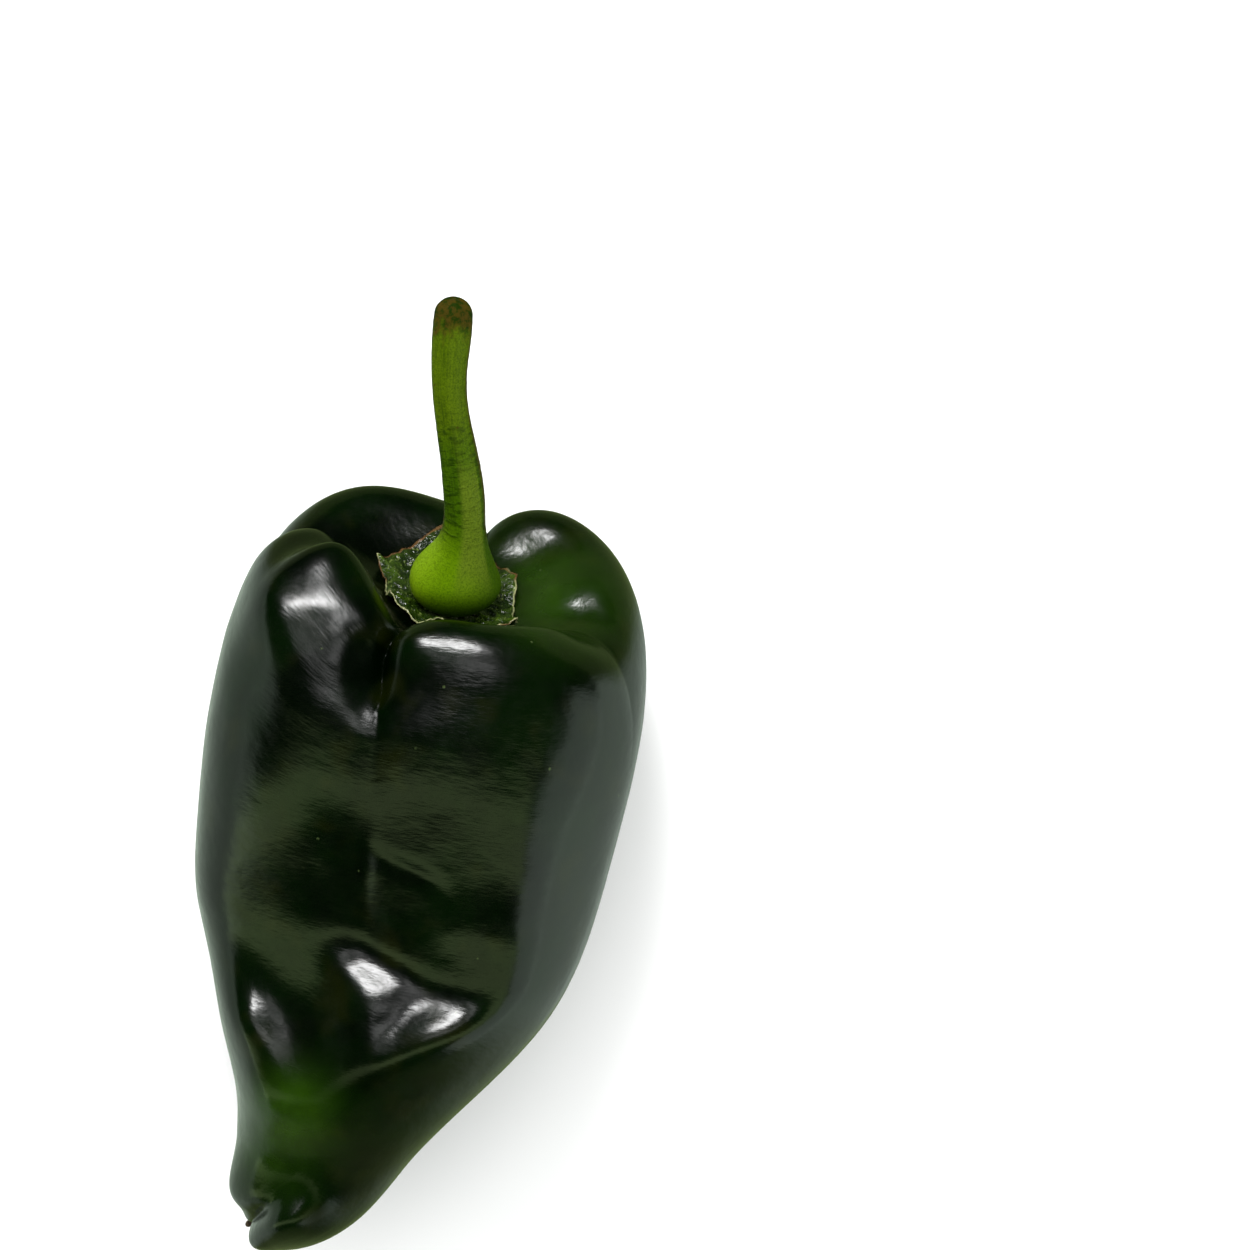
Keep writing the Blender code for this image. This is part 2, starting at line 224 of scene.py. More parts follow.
def distance_to_path(places: Array, path: Sequence) -> tuple[Array, Array]:
    """How far places lie from a smooth path.

    Args:
        places: Places as seen from above.
        path: Points that the path goes through.

    Returns:
        The distance of each place, and how far along the path its nearest point is, from 0 to 1.
    """
    knots = along(path)
    line = SmoothLine(knots, path)(np.linspace(0, knots[-1], PATH_STEPS * len(path)))
    nearest = np.full(places.shape[:-1], np.inf)
    way = np.zeros(places.shape[:-1])
    for i, (start, end) in enumerate(zip(line[:-1], line[1:])):
        reach = end - start
        share = np.clip((places - start) @ reach / (reach @ reach), 0, 1)
        away = np.linalg.norm(places - start - share[..., None] * reach, axis=-1)
        way = np.where(away < nearest, (i + share) / (len(line) - 1), way)
        nearest = np.minimum(nearest, away)
    return nearest, way


def smooth_step(low: float, high: float, value: Array) -> Array:
    """Rises smoothly from 0 at low to 1 at high."""
    share = np.clip((value - low) / (high - low), 0, 1)
    return share * share * (3 - 2 * share)


@dataclass(frozen=True)
class PodForm:
    """The pod's skin as a formula, in millimetres: a point for each share of the way from the bottom
    of the hollow shoulder to the blossom end, and each angle round the section."""

    stations: tuple[Station, ...] = (
        Station(4.8, 36.0, 42.1, 36.5, 28.8),
        Station(3.3, 23.4, 36.0, 36.2, 30.4),
        Station(-0.4, 5.4, 30.5, 35.9, 32.0),
        Station(-3.6, -12.0, 28.0, 34.6, 30.0),
        Station(-7.0, -28.3, 26.9, 31.3, 27.9),
        Station(-11.6, -43.6, 26.5, 23.1, 24.0),
        Station(-15.8, -55.9, 24.5, 16.0, 18.5),
        Station(-20.3, -64.8, 23.5, 13.1, 13.5),
        Station(-27.8, -72.8, 23.0, 9.6, 10.5),
    )
    creases: tuple[Crease, ...] = (
        Crease(18, 0.14, 0.02, 0.20), Crease(97, 1.00, 0.30, 1.00), Crease(190, 0.80, 0.80, 0.80),
        Crease(284, 1.10, 1.10, 1.10),
    )
    crease_fade: Pair = (0.19, 0.29)
    crease_return: Pair = (0.74, 0.86)
    upper_crease_drift: tuple = (
        (0.0, 13.0), (0.15, 13.0), (0.18, 11.0), (0.22, 6.5), (0.30, 2.5), (0.38, 1.0), (0.46, 0.0),
        (0.54, -2.5), (0.60, -4.5), (1.0, -4.5),
    )
    upper_crease_drift_width: float = 40.0
    lobe_tips: tuple[float, ...] = (-0.2, -3.1, -2.5, 0.3)
    lobe_tips_from: float = 0.8
    rim_rise: tuple = (
        (0, -2.9), (20, -5.0), (45, -1.7), (68, -0.5), (95, 1.3), (118, 3.6), (134, 10.0), (152, 6.1),
        (174, 7.8), (195, 4.8), (235, 5.0), (262, 4.8), (283, 6.7), (305, 5.8), (335, 0.2),
    )
    rim_rise_fade: float = 1.5
    rim_rise_drop: float = 0.45
    lobe_line: tuple = (
        (0.00, 6.8), (0.14, 6.8), (0.29, 6.3), (0.42, 4.4), (0.53, 1.6), (0.66, 0.0), (0.80, 1.8),
        (0.905, 6.6), (0.97, 14.0), (1.0, 26.0), (1.0, 44.0), (1.0, 64.0), (1.0, 83.0), (1.0, 102.0),
        (0.94, 113.0), (0.64, 120.4), (0.28, 120.4), (0.00, 118.5),
    )
    crease_line: tuple = (
        (0.00, 6.8), (0.14, 6.8), (0.27, 6.9), (0.36, 7.3), (0.44, 7.9), (0.53, 8.6), (0.65, 10.0),
        (0.77, 13.2), (0.86, 19.5), (0.92, 30.0), (0.95, 46.0), (0.965, 65.0), (0.97, 83.0),
        (0.95, 99.5), (0.82, 110.0), (0.47, 115.4), (0.18, 118.0), (0.00, 118.5),
    )
    crest_at: float = 0.66
    section_power: float = 2.45
    lobe_roundness: tuple = (
        (0.0, 0.60), (0.10, 0.55), (0.16, 0.40), (0.28, 0.42), (0.50, 0.80), (1.0, 0.80),
    )
    crease_softness: tuple = (
        (0.0, 0.30), (0.13, 0.14), (0.22, 0.26), (0.40, 0.30), (0.80, 0.40), (1.0, 0.40),
    )
    hollow_lean: float = 0.21
    rim_faces_up: Pair = (0.16, 0.26)
    upper_face_edge: float = 3.0
    centre_step: float = 0.5
    share_step: float = 0.002
    angle_step: float = 0.02
    pole_margin: float = 0.02
    mounds: tuple[Mound, ...] = (
        Mound("left shoulder", -15.4, 40.0, 19.9, 10.9, 30, -2.7),
        Mound("right shoulder", 22.0, 38.5, 10.3, 5.2, 11, -1.9),
        Mound("right flank", 17.1, -19.1, 10.7, 17.7, -1, 3.4),
        Mound("left flank", -10.9, 8.2, 8.0, 11.7, -4, -1.1),
        Mound("waist", -4.7, -28.1, 15.6, 5.3, -28, -2.9),
        Mound("knee", 4.9, -51.2, 37.7, 14.1, 49, 3.3),
        Mound("dark hollow", -20.3, -33.8, 9.5, 10.9, -11, -3.4),
        Mound("left ridge", -30.7, -37.6, 8.2, 5.2, -54, 3.9),
        Mound("dome", 5.8, -41.0, 17.5, 5.2, 21, 3.3),
        Mound("middle knob", -9.2, -43.7, 5.5, 13.2, 1, 2.0),
        Mound("foot of the left ridge", -20.4, -53.0, 9.5, 6.7, -36, 3.4),
        Mound("left rim", -25.2, 30.8, 5.2, 15.5, 19, 3.3),
        Mound("left side", -27.4, -21.7, 10.0, 11.5, -7, -3.4),
        Mound("right of the waist", 9.4, -23.7, 13.0, 5.6, -7, -1.1),
        Mound("above the waist", -10.3, -17.1, 5.2, 11.2, 17, -2.7),
        Mound("beside the front crease", -3.8, 27.4, 5.5, 6.6, 12, 2.8),
        Mound("hollow of the right rim", 26.7, 27.0, 5.3, 5.2, 5, -3.8),
        Mound("above the dome", -1.7, -32.6, 5.2, 5.2, 0, 0.5),
        Mound("left side of the tip", -27.5, -57.0, 5.0, 16.0, -4, 2.6),
        Mound("lower end", -22.5, -69.5, 11.0, 7.0, 15, 2.6),
        Mound("tip swelling", -22.0, -73.4, 7.0, 5.2, 0, 4.6),
        Mound("crown of the left lobe", -17.2, 30.0, 9.0, 3.6, 0, 0.35),
        Mound("dip between knob and dome", -2.6, -37.6, 6.5, 2.8, 48, -0.45),
        Mound("beside the left lobe's crown", -12.0, 23.0, 3.0, 5.0, 0, 0.3),
    )
    folds: tuple[Fold, ...] = (
        Fold(
            ((-6.3, -1.0), (-7.1, -9.6), (-3.4, -12.2), (2.5, -15.1), (5.4, -18.7), (5.4, -23.4)), 1.5, 0.45
        ),
        Fold(((-5.4, 26.6), (-7.0, 17.7), (-8.0, 8.7)), 3.5, -1.1),
        Fold(((-4.8, 14.4), (-6.0, 4.7), (-7.3, -6.7), (-8.6, -18.0), (-9.6, -31.8)), 1.5, -0.28),
    )

    def __post_init__(self) -> None:
        """Prepares the curves that the stations and lines stand for."""
        centres = [station[:3] for station in self.stations]
        knots = along(centres)
        width = self.stations[1].half_width
        line_knots = along([(width * rho, down) for rho, down in self.lobe_line])
        line_knots /= line_knots[-1]
        curves = {
            "knots": knots,
            "axis": SmoothLine(knots, self.stations),
            "line_knots": line_knots,
            "on_lobe": SmoothLine(line_knots, self.lobe_line),
            "in_crease": SmoothLine(line_knots, self.crease_line),
            "rise": smooth_ring(self.rim_rise),
        }
        for name, curve in curves.items():
            object.__setattr__(self, name, curve)

    @property
    def end(self) -> float:
        """How far past the rim the blossom end lies."""
        return self.lobe_line[-1][1]

    @property
    def rim_share(self) -> float:
        """The share of the way at which the rim's crest stands."""
        return float(self.line_knots[[rho for rho, _ in self.lobe_line].index(self.crest_at)])

    def frame(self, down: Array) -> tuple[Array, ...]:
        """Reads the centre line.

        Args:
            down: Distances past the rim.

        Returns:
            Centre, half width, half depth, and the section's across and up directions.
        """
        inside = np.clip(down, 0.0, self.knots[-1])
        ahead = self.axis(np.clip(inside + self.centre_step, 0, self.knots[-1]))[..., :3]
        behind = self.axis(np.clip(inside - self.centre_step, 0, self.knots[-1]))[..., :3]
        forward = unit(ahead - behind)
        here = self.axis(inside)
        centre = here[..., :3] + (down - inside)[..., None] * forward
        across = unit(np.cross(np.array([0.0, 0.0, 1.0]), forward))
        return centre, here[..., 3], here[..., 4], across, np.cross(forward, across)

    def round_the_section(self, share: Array, angle: Array) -> tuple[Array, ...]:
        """Finds the lobe that each angle belongs to.

        Args:
            share: Share of the way from the hollow to the blossom end.
            angle: Angle round the section, in radians.

        Returns:
            How far out of a crease it is, from 0 to 1, the crease's depth, and the lobe's tip.
        """
        turn = np.degrees(angle) % 360
        drift = np.interp(share, *zip(*self.upper_crease_drift))
        away = (turn - self.creases[1].angle - drift) / self.upper_crease_drift_width
        turn = (turn - drift * np.exp(-(away**2))) % 360
        starts = np.array([crease.angle for crease in self.creases], float)
        i = np.searchsorted(starts, turn, side="right") - 1
        after = (i + 1) % len(starts)
        i = i % len(starts)
        across = ((turn - starts[i]) % 360) / ((starts[after] - starts[i]) % 360)
        past_shoulder = smooth_step(*self.crease_fade, share)
        at_tip = smooth_step(*self.crease_return, share)
        at_rim, along_side, at_end = np.array([crease[1:] for crease in self.creases]).T
        depth = np.zeros(share.shape)
        for crease, weight in ((i, 1 - smooth_step(0, 1, across)), (after, smooth_step(0, 1, across))):
            side = at_rim[crease] + (along_side - at_rim)[crease] * past_shoulder
            depth += weight * (side + (at_end - along_side)[crease] * at_tip)
        return np.sin(math.pi * across), depth, np.array(self.lobe_tips)[i]

    def points(self, share: Array, angle: Array) -> Array:
        """Places points of the skin.

        Args:
            share: Share of the way from the hollow to the blossom end.
            angle: Angle round the section, in radians.

        Returns:
            A point for each pair, in millimetres.
        """
        out, depth, tip = self.round_the_section(share, angle)
        softness = np.interp(share, *zip(*self.crease_softness))
        roundness = np.interp(share, *zip(*self.lobe_roundness))
        rounded = np.sqrt(out ** (2 * roundness) + softness**2) - softness
        rounded = rounded / (np.sqrt(1 + softness**2) - softness)
        fullness = 1 - depth * (1 - rounded)
        crease = self.in_crease(share)
        rho, down = np.moveaxis(crease + (self.on_lobe(share) - crease) * fullness[..., None], -1, 0)
        past_rim = share / self.rim_share - 1
        # Goes from 0 at the middle of the hollow to 1 at the rim, and is level at both.
        inner_rise = (1 + past_rim) ** 3 * (1 - 3 * past_rim)
        near_rim = np.where(past_rim < 0, inner_rise, np.exp(-((past_rim / self.rim_rise_fade) ** 2)))
        past_tip = np.clip((share - self.lobe_tips_from) / (1 - self.lobe_tips_from), 0, 1)
        # 0 at both ends of the last stretch, and 1 in its middle.
        near_tip = 16 * past_tip**2 * (1 - past_tip) ** 2
        down = down - self.rise(np.degrees(angle) % 360) * near_rim + tip * out * near_tip
        cos, sin = np.cos(angle), np.sin(angle)
        in_hollow = np.where(past_rim < 0, 1 - inner_rise, 0.0)
        down = down + self.hollow_lean * rho * self.stations[0].half_depth * sin * in_hollow
        centre, half_width, half_depth, across, up = self.frame(down)
        section = self.section_radius(angle)
        side = rho * half_width * section * cos
        height = rho * half_depth * section * sin
        points = centre + side[..., None] * across + height[..., None] * up
        drop = self.rim_rise_drop * self.rise(np.degrees(angle) % 360) * near_rim
        upper = np.clip(sin * self.upper_face_edge, 0, 1)
        upper = np.maximum(upper, 1 - smooth_step(*self.rim_faces_up, share))
        points[..., 2] += upper * self.relief(points[..., :2]) - drop
        points[..., 2] = np.maximum(points[..., 2], 0.0)
        return points

    def outward(self, share: Array, angle: Array) -> Array:
        """The skin's outward direction at each share of the way and angle."""
        share = np.clip(share, self.pole_margin, 1 - self.pole_margin)
        lengthways = self.points(share + self.share_step, angle) - self.points(share - self.share_step, angle)
        crossways = self.points(share, angle + self.angle_step) - self.points(share, angle - self.angle_step)
        return unit(np.cross(crossways, lengthways))

    def share_at(self, distance: Array, angle: Array) -> Array:
        """The share of the way at which the hollow's floor lies that far from its middle."""
        rim = self.stations[0]
        ellipse = np.hypot(rim.half_width * np.cos(angle), rim.half_depth * np.sin(angle))
        radius = self.section_radius(angle) * ellipse
        rho = [rho for rho, _ in self.lobe_line]
        inner = rho.index(self.crest_at) + 1
        return np.interp(distance / radius, rho[:inner], self.line_knots[:inner])

    def section_radius(self, angle: Array) -> Array:
        """The rounded square of the section, as a share of its half width and half depth."""
        cos, sin = np.abs(np.cos(angle)), np.abs(np.sin(angle))
        return (cos**self.section_power + sin**self.section_power) ** (-1 / self.section_power)

    def relief(self, place: Array) -> Array:
        """How much higher the upper face is for its mounds and folds, at places seen from above."""
        height = np.zeros(place.shape[:-1])
        for mound in self.mounds:
            turn = math.radians(mound.turn)
            x, y = np.moveaxis(place - (mound.x, mound.y), -1, 0)
            lengthways = (x * math.cos(turn) + y * math.sin(turn)) / mound.length
            crossways = (y * math.cos(turn) - x * math.sin(turn)) / mound.width
            height += mound.out * np.exp(-(lengthways**2) - crossways**2)
        for fold in self.folds:
            away, way = distance_to_path(place, fold.path)
            height += fold.out * np.exp(-((away / fold.width) ** 2)) * np.sin(math.pi * way)
        return height


@dataclass
class Board:
    """A node tree that is being filled in, with short ways to add the nodes that finishes share."""

    tree: Tree

    def add(self, kind: str, inputs: dict | None = None, **settings: object) -> Node:
        """Adds a node.

        Args:
            kind: The node's type.
            inputs: A value or an output socket for inputs, by name or number.
            settings: The node's own properties.

        Returns:
            The node.
        """
        node = self.tree.nodes.new(kind)
        for name, value in settings.items():
            setattr(node, name, value)
        self.feed_all(node, inputs or {})
        return node

    def feed(self, socket: Socket, value: object) -> None:
        """Links an output socket to an input socket, or sets the input's value."""
        if isinstance(value, Socket):
            self.tree.links.new(value, socket)
        elif socket.type == "RGBA" and len(value) == 3:
            socket.default_value = (*value, 1.0)
        else:
            socket.default_value = value

    def feed_all(self, node: Node, inputs: dict) -> None:
        """Feeds a value or an output socket to each of a node's inputs, by name or number."""
        for name, value in inputs.items():
            self.feed(node.inputs[name], value)

    def math(self, operation: str, *values: object) -> Socket:
        """The result of a sum on one, two or three numbers."""
        return self.add("ShaderNodeMath", dict(enumerate(values)), operation=operation).outputs[0]

    def times(self, first: object, *others: object) -> Socket:
        """The product of some numbers."""
        for other in others:
            first = self.math("MULTIPLY", first, other)
        return first

    def plus(self, first: object, second: object) -> Socket:
        """The sum of two numbers."""
        return self.math("ADD", first, second)

    def minus(self, first: object, second: object) -> Socket:
        """The first number less the second."""
        return self.math("SUBTRACT", first, second)

    def vector_math(self, operation: str, *values: object) -> Socket:
        """The result of a sum on vectors."""
        return self.add("ShaderNodeVectorMath", dict(enumerate(values)), operation=operation).outputs[0]

    def scaled(self, vector: object, factor: object) -> Socket:
        """A vector that many times as long."""
        inputs = {"Vector": vector, "Scale": factor}
        return self.add("ShaderNodeVectorMath", inputs, operation="SCALE").outputs[0]

    def split(self, vector: object) -> bpy.types.NodeOutputs:
        """The three parts of a vector."""
        return self.add("ShaderNodeSeparateXYZ", {0: vector}).outputs

    def noise(self, place: object, grain: Grain) -> Socket:
        """Smooth noise from 0 to 1, read at a place in metres."""
        scale, detail, roughness, seed, crowding = grain
        if crowding:
            place = self.vector_math("MULTIPLY", place, crowding)
        inputs = {"Vector": place, "W": seed, "Scale": scale, "Detail": detail, "Roughness": roughness}
        return self.add("ShaderNodeTexNoise", inputs, noise_dimensions="4D").outputs[0]

    def patches(self, place: object, grain: Grain, fade: Fade) -> Socket:
        """Noise, read at a place in metres, that fades into patches."""
        return self.fade(self.noise(place, grain), fade)

    def dots(self, place: object, scale: float) -> Socket:
        """The distance to the nearest of many scattered dots, in cells."""
        return self.add("ShaderNodeTexVoronoi", {"Vector": place, "Scale": scale}).outputs["Distance"]

    def fade(self, value: object, fade: Fade) -> Socket:
        """Goes smoothly from low to high as the value goes from start to end."""
        names = ("Value", "From Min", "From Max", "To Min", "To Max")
        inputs = dict(zip(names, (value, *fade)))
        return self.add("ShaderNodeMapRange", inputs, interpolation_type="SMOOTHSTEP").outputs["Result"]

    def blend(self, factor: object, first: object, second: object) -> Socket:
        """The colour between two colours."""
        # The node has sockets of the same names for numbers and vectors, so its own go by number.
        node = self.add("ShaderNodeMix", {0: factor, 6: first, 7: second}, data_type="RGBA")
        return node.outputs[2]

    def layers(self, colour: object, *layers: tuple[object, object]) -> object:
        """Lays colours over a first one. Each layer is how far it covers, from 0 to 1, and its colour."""
        for cover, over in layers:
            colour = self.blend(cover, colour, over)
        return colour

    def attribute(self, name: str, vector: bool = False) -> Socket:
        """The piece's own attribute, as a number or a vector."""
        node = self.add("ShaderNodeAttribute", attribute_name=name)
        return node.outputs["Vector" if vector else "Fac"]

    def store(self, geometry: object, name: str, value: object, kind: str) -> Socket:
        """The geometry with an attribute on each of its points, of that name, value and kind of data."""
        inputs = {"Geometry": geometry, "Name": name, "Value": value}
        settings = {"data_type": kind, "domain": "POINT"}
        return self.add("GeometryNodeStoreNamedAttribute", inputs, **settings).outputs[0]

    def stored(self, name: str, kind: str) -> Socket:
        """An attribute of the geometry's points, by its name and kind of data."""
        return self.add("GeometryNodeInputNamedAttribute", {"Name": name}, data_type=kind).outputs[0]

    def object_place(self) -> Socket:
        """The place on the piece, in metres."""
        return self.add("ShaderNodeTexCoord").outputs["Object"]

    def bump(self, height: object, distance: float, normal: object | None = None) -> Socket:
        """The surface direction over a height from 0 to 1 that stands out by distance, in metres."""
        inputs = {"Height": height, "Distance": distance, "Strength": 1.0}
        if normal is not None:
            inputs["Normal"] = normal
        return self.add("ShaderNodeBump", inputs).outputs["Normal"]


def new_finish(name: str) -> tuple[Material, Board, Node]:
    """Starts a finish.

    Args:
        name: The material's name.

    Returns:
        The material, the board for its nodes, and its surface shader.
    """
    material = bpy.data.materials.new(name)
    material.use_nodes = True
    return material, Board(material.node_tree), material.node_tree.nodes["Principled BSDF"]


@dataclass(frozen=True)
class SkinFinish:
    """The pod's waxy skin: deep green with paler areas, glossy, with fine streaks that run round it."""

    deep: Colour = (0.0000, 0.0010, 0.0000)
    leaf: Colour = (0.0004, 0.0036, 0.0000)
    warm: Colour = (0.0036, 0.0052, 0.0002)
    pale: Colour = (0.0180, 0.0520, 0.0010)
    speck: Colour = (0.0300, 0.0450, 0.0130)
    gloss: float = 1.04
    wax_gloss: float = 1.37
    mottle: Grain = Grain(75, 3.0, 0.55, 1)
    mottled: Fade = Fade(0.36, 0.66)
    warmth: Grain = Grain(110, 2.0, 0.6, 2)
    warmed: Fade = Fade(0.52, 0.72, 0.0, 0.8)
    unevenness: Grain = Grain(160, 3.0, 0.6, 3)
    uneven: Fade = Fade(0.2, 0.8, 0.65, 1.25)
    specks_to_a_metre: float = 330
    speck_size: Fade = Fade(0.05, 0.11, 1.0, 0.0)
    speck_groups: Grain = Grain(210, 1.0, 0.5, 4)
    grouped: Fade = Fade(0.60, 0.66)
    wax: Grain = Grain(420, 3.0, 0.6, 5)
    skin_roughness: Fade = Fade(0.3, 0.7, 0.36, 0.44)
    wax_roughness: Fade = Fade(0.3, 0.7, 0.18, 0.24)
    ripple: Grain = Grain(260, 2.0, 0.5, 6, (0.6, 0.6, 1.0))
    ripple_height: float = 0.00013
    streaks: Grain = Grain(2400, 2.0, 0.6, 7, (0.22, 0.22, 1.0))
    streak_height: float = 0.000030

    def material(self) -> Material:
        """The finish as a material."""
        material, board, shader = new_finish("pod_skin_waxy")
        here = board.object_place()
        unrolled = board.attribute("skin_place", vector=True)
        speck = board.fade(board.dots(here, self.specks_to_a_metre), self.speck_size)
        uneven = board.patches(here, self.unevenness, self.uneven)
        colour = board.layers(
            self.deep,
            (board.patches(here, self.mottle, self.mottled), self.leaf),
            (board.patches(here, self.warmth, self.warmed), self.warm),
            (board.times(board.attribute("paleness"), uneven), self.pale),
            (board.times(speck, board.patches(here, self.speck_groups, self.grouped)), self.speck),
        )
        wax = board.noise(here, self.wax)
        normal = board.bump(board.noise(unrolled, self.ripple), self.ripple_height)
        normal = board.bump(board.noise(unrolled, self.streaks), self.streak_height, normal)
        board.feed_all(shader, {
            "Base Color": colour,
            "Roughness": board.fade(wax, self.skin_roughness),
            "Coat Roughness": board.fade(wax, self.wax_roughness),
            "IOR": self.gloss,
            "Coat IOR": self.wax_gloss,
            "Coat Weight": board.minus(1.0, board.attribute("dullness")),
            "Normal": normal,
            "Coat Normal": normal,
        })
        return material


@dataclass(frozen=True)
class StalkFinish:
    """The stem's fibrous green bark: a bright foot with painted light on its left and painted shade on its
    right, a foot darker towards the rim, partly in its colour and partly painted shade, a dark wrinkled neck
    with painted shade in its wrinkles, painted shade along its sides as seen from above, a paler strip down
    one side and a dry brown end."""

    foot: Colour = (0.078, 0.155, 0.0002)
    foot_painted_light: Colour = (0.145, 0.250, 0.0040)
    foot_painted_shade: Colour = (0.024, 0.056, 0.0002)
    neck: Colour = (0.030, 0.070, 0.0002)
    upper: Colour = (0.053, 0.090, 0.0006)
    # A dark green: the darker grain, fibres and dry patches, and painted shade in the wrinkles and on the
    # foot's side towards the rim.
    shade: Colour = (0.006, 0.018, 0.0001)
    strip: Colour = (0.082, 0.122, 0.0075)
    dry: Colour = (0.036, 0.026, 0.0020)
    # A brown for the blotches, and for the painted shade along the stem's outline.
    spots_and_outline_shade: Colour = (0.036, 0.022, 0.0030)
    gloss: float = 1.08
    bark_roughness: Fade = Fade(0.3, 0.7, 0.40, 0.62)
    # Painted light on the foot's left side and painted shade on its right side: how far each takes in the
    # top, and where it fades.
    lit_lean: float = 0.5
    lit: Fade = Fade(-0.0030, 0.0004, 1.0, 0.0)
    unlit_lean: float = 0.3
    unlit: Fade = Fade(0.0016, 0.0034)
    neck_begins: Fade = Fade(0.0070, 0.0180)
    upper_begins: Fade = Fade(0.0250, 0.0340)
    # The wrinkles of the neck, with painted shade in them.
    wrinkles: Grain = Grain(1300, 2.0, 0.6, 12, (0.35, 0.35, 1.0))
    wrinkled: Fade = Fade(0.46, 0.66)
    wrinkles_begin: Fade = Fade(0.010, 0.014)
    wrinkles_end: Fade = Fade(0.030, 0.036, 1.0, 0.25)
    wrinkle_shade: float = 0.7
    wrinkle_height: float = 0.00012
    fibres: Grain = Grain(2600, 3.0, 0.6, 11, (1.0, 1.0, 0.07))
    fibrous: Fade = Fade(0.42, 0.75, 0.0, 0.6)
    fibres_begin: Fade = Fade(0.010, 0.020)
    fibres_end: Fade = Fade(0.043, 0.047, 1.0, 0.0)
    fibre_height: float = 0.00010
    strip_lean: float = 0.35
    strip_near_side: Fade = Fade(0.0004, 0.0014)
    strip_far_side: Fade = Fade(0.0024, 0.0028, 1.0, 0.0)
    strip_begins: Fade = Fade(0.002, 0.010, 0.0, 0.85)
    strip_fades: Fade = Fade(0.021, 0.028, 1.0, 0.25)
    grain: Grain = Grain(3200, 3.0, 0.8, 14)
    grained: Fade = Fade(0.40, 0.70, 0.0, 0.60)
    grain_height: float = 0.00012
    # Painted shade along the stem's left and right sides as seen from above, where its outline falls.
    edge: Fade = Fade(0.00268, 0.00300, 0.0, 0.75)
    outline_shade_begins: Fade = Fade(0.010, 0.016)
    blotches: Grain = Grain(700, 3.0, 0.6, 13, (1.0, 1.0, 0.6))
    spotted: Fade = Fade(0.64, 0.70)
    spots_begin: Fade = Fade(0.026, 0.034)
    dry_ragged: float = 0.009
    dry_begins: Fade = Fade(0.0445, 0.0490)
    dry_patches: Grain = Grain(900, 3.0, 0.7, 15)
    dry_patched: Fade = Fade(0.40, 0.62)
    # Partly colour, partly painted shade: the foot darker on its side towards the rim.
    rimward_tone_and_shade: Fade = Fade(0.0285, 0.0335, 0.9, 0.0)

    def material(self) -> Material:
        """The finish as a material."""
        material, board, shader = new_finish("stalk_bark")
        here = board.object_place()
        place = board.attribute("stalk_place", vector=True)
        side, up, travel = board.split(place)
        grain = board.noise(here, self.grain)
        blotches = board.noise(place, self.blotches)

        def flank(lean: float, fade: Fade) -> Socket:
            """One side of the stem, which takes in that much of its top."""
            return board.fade(board.minus(side, board.times(up, lean)), fade)

        def stretch(*fades: Fade) -> Socket:
            """A stretch of the stem, by distances from its foot in metres."""
            return board.times(*(board.fade(travel, fade) for fade in fades))

        on_neck = stretch(self.wrinkles_begin, self.wrinkles_end)
        creased = board.times(board.patches(place, self.wrinkles, self.wrinkled), on_neck)
        fibrous = board.patches(place, self.fibres, self.fibrous)
        fibrous = board.times(fibrous, stretch(self.fibres_begin), stretch(self.fibres_end))
        strip = board.times(
            flank(self.strip_lean, self.strip_near_side), board.fade(side, self.strip_far_side),
            stretch(self.strip_begins), stretch(self.strip_fades),
        )
        # Painted shade along the stem's outline as seen from above.
        edge = board.fade(board.math("ABSOLUTE", side), self.edge)
        ragged = board.plus(travel, board.times(board.minus(blotches, 0.5), self.dry_ragged))
        dry = board.blend(board.patches(here, self.dry_patches, self.dry_patched), self.dry, self.shade)
        colour = board.layers(
            self.foot,
            # Painted light on the left of the foot, then painted shade on its right.
            (flank(self.lit_lean, self.lit), self.foot_painted_light),
            (flank(self.unlit_lean, self.unlit), self.foot_painted_shade),
            (stretch(self.neck_begins), self.neck),
            (stretch(self.upper_begins), self.upper),
            # Painted shade in the neck's wrinkles.
            (board.times(creased, self.wrinkle_shade), self.shade),
            (fibrous, self.shade),
            (strip, self.strip),
            (board.fade(grain, self.grained), self.shade),
            # Painted shade along the outline, from a third of the way up the foot.
            (board.times(edge, stretch(self.outline_shade_begins)), self.spots_and_outline_shade),
            (board.times(board.fade(blotches, self.spotted), stretch(self.spots_begin)), self.spots_and_outline_shade),
            (board.fade(ragged, self.dry_begins), dry),
            # The foot darker on its side towards the rim: partly its colour, partly painted shade.
            (board.fade(board.split(here)[1], self.rimward_tone_and_shade), self.shade),
        )
        normal = board.bump(grain, self.grain_height)
        normal = board.bump(fibrous, self.fibre_height, normal)
        normal = board.bump(creased, self.wrinkle_height, normal)
        board.feed_all(shader, {
            "Base Color": colour,
            "Roughness": board.fade(grain, self.bark_roughness),
            "IOR": self.gloss,
            "Normal": normal,
        })
        return material


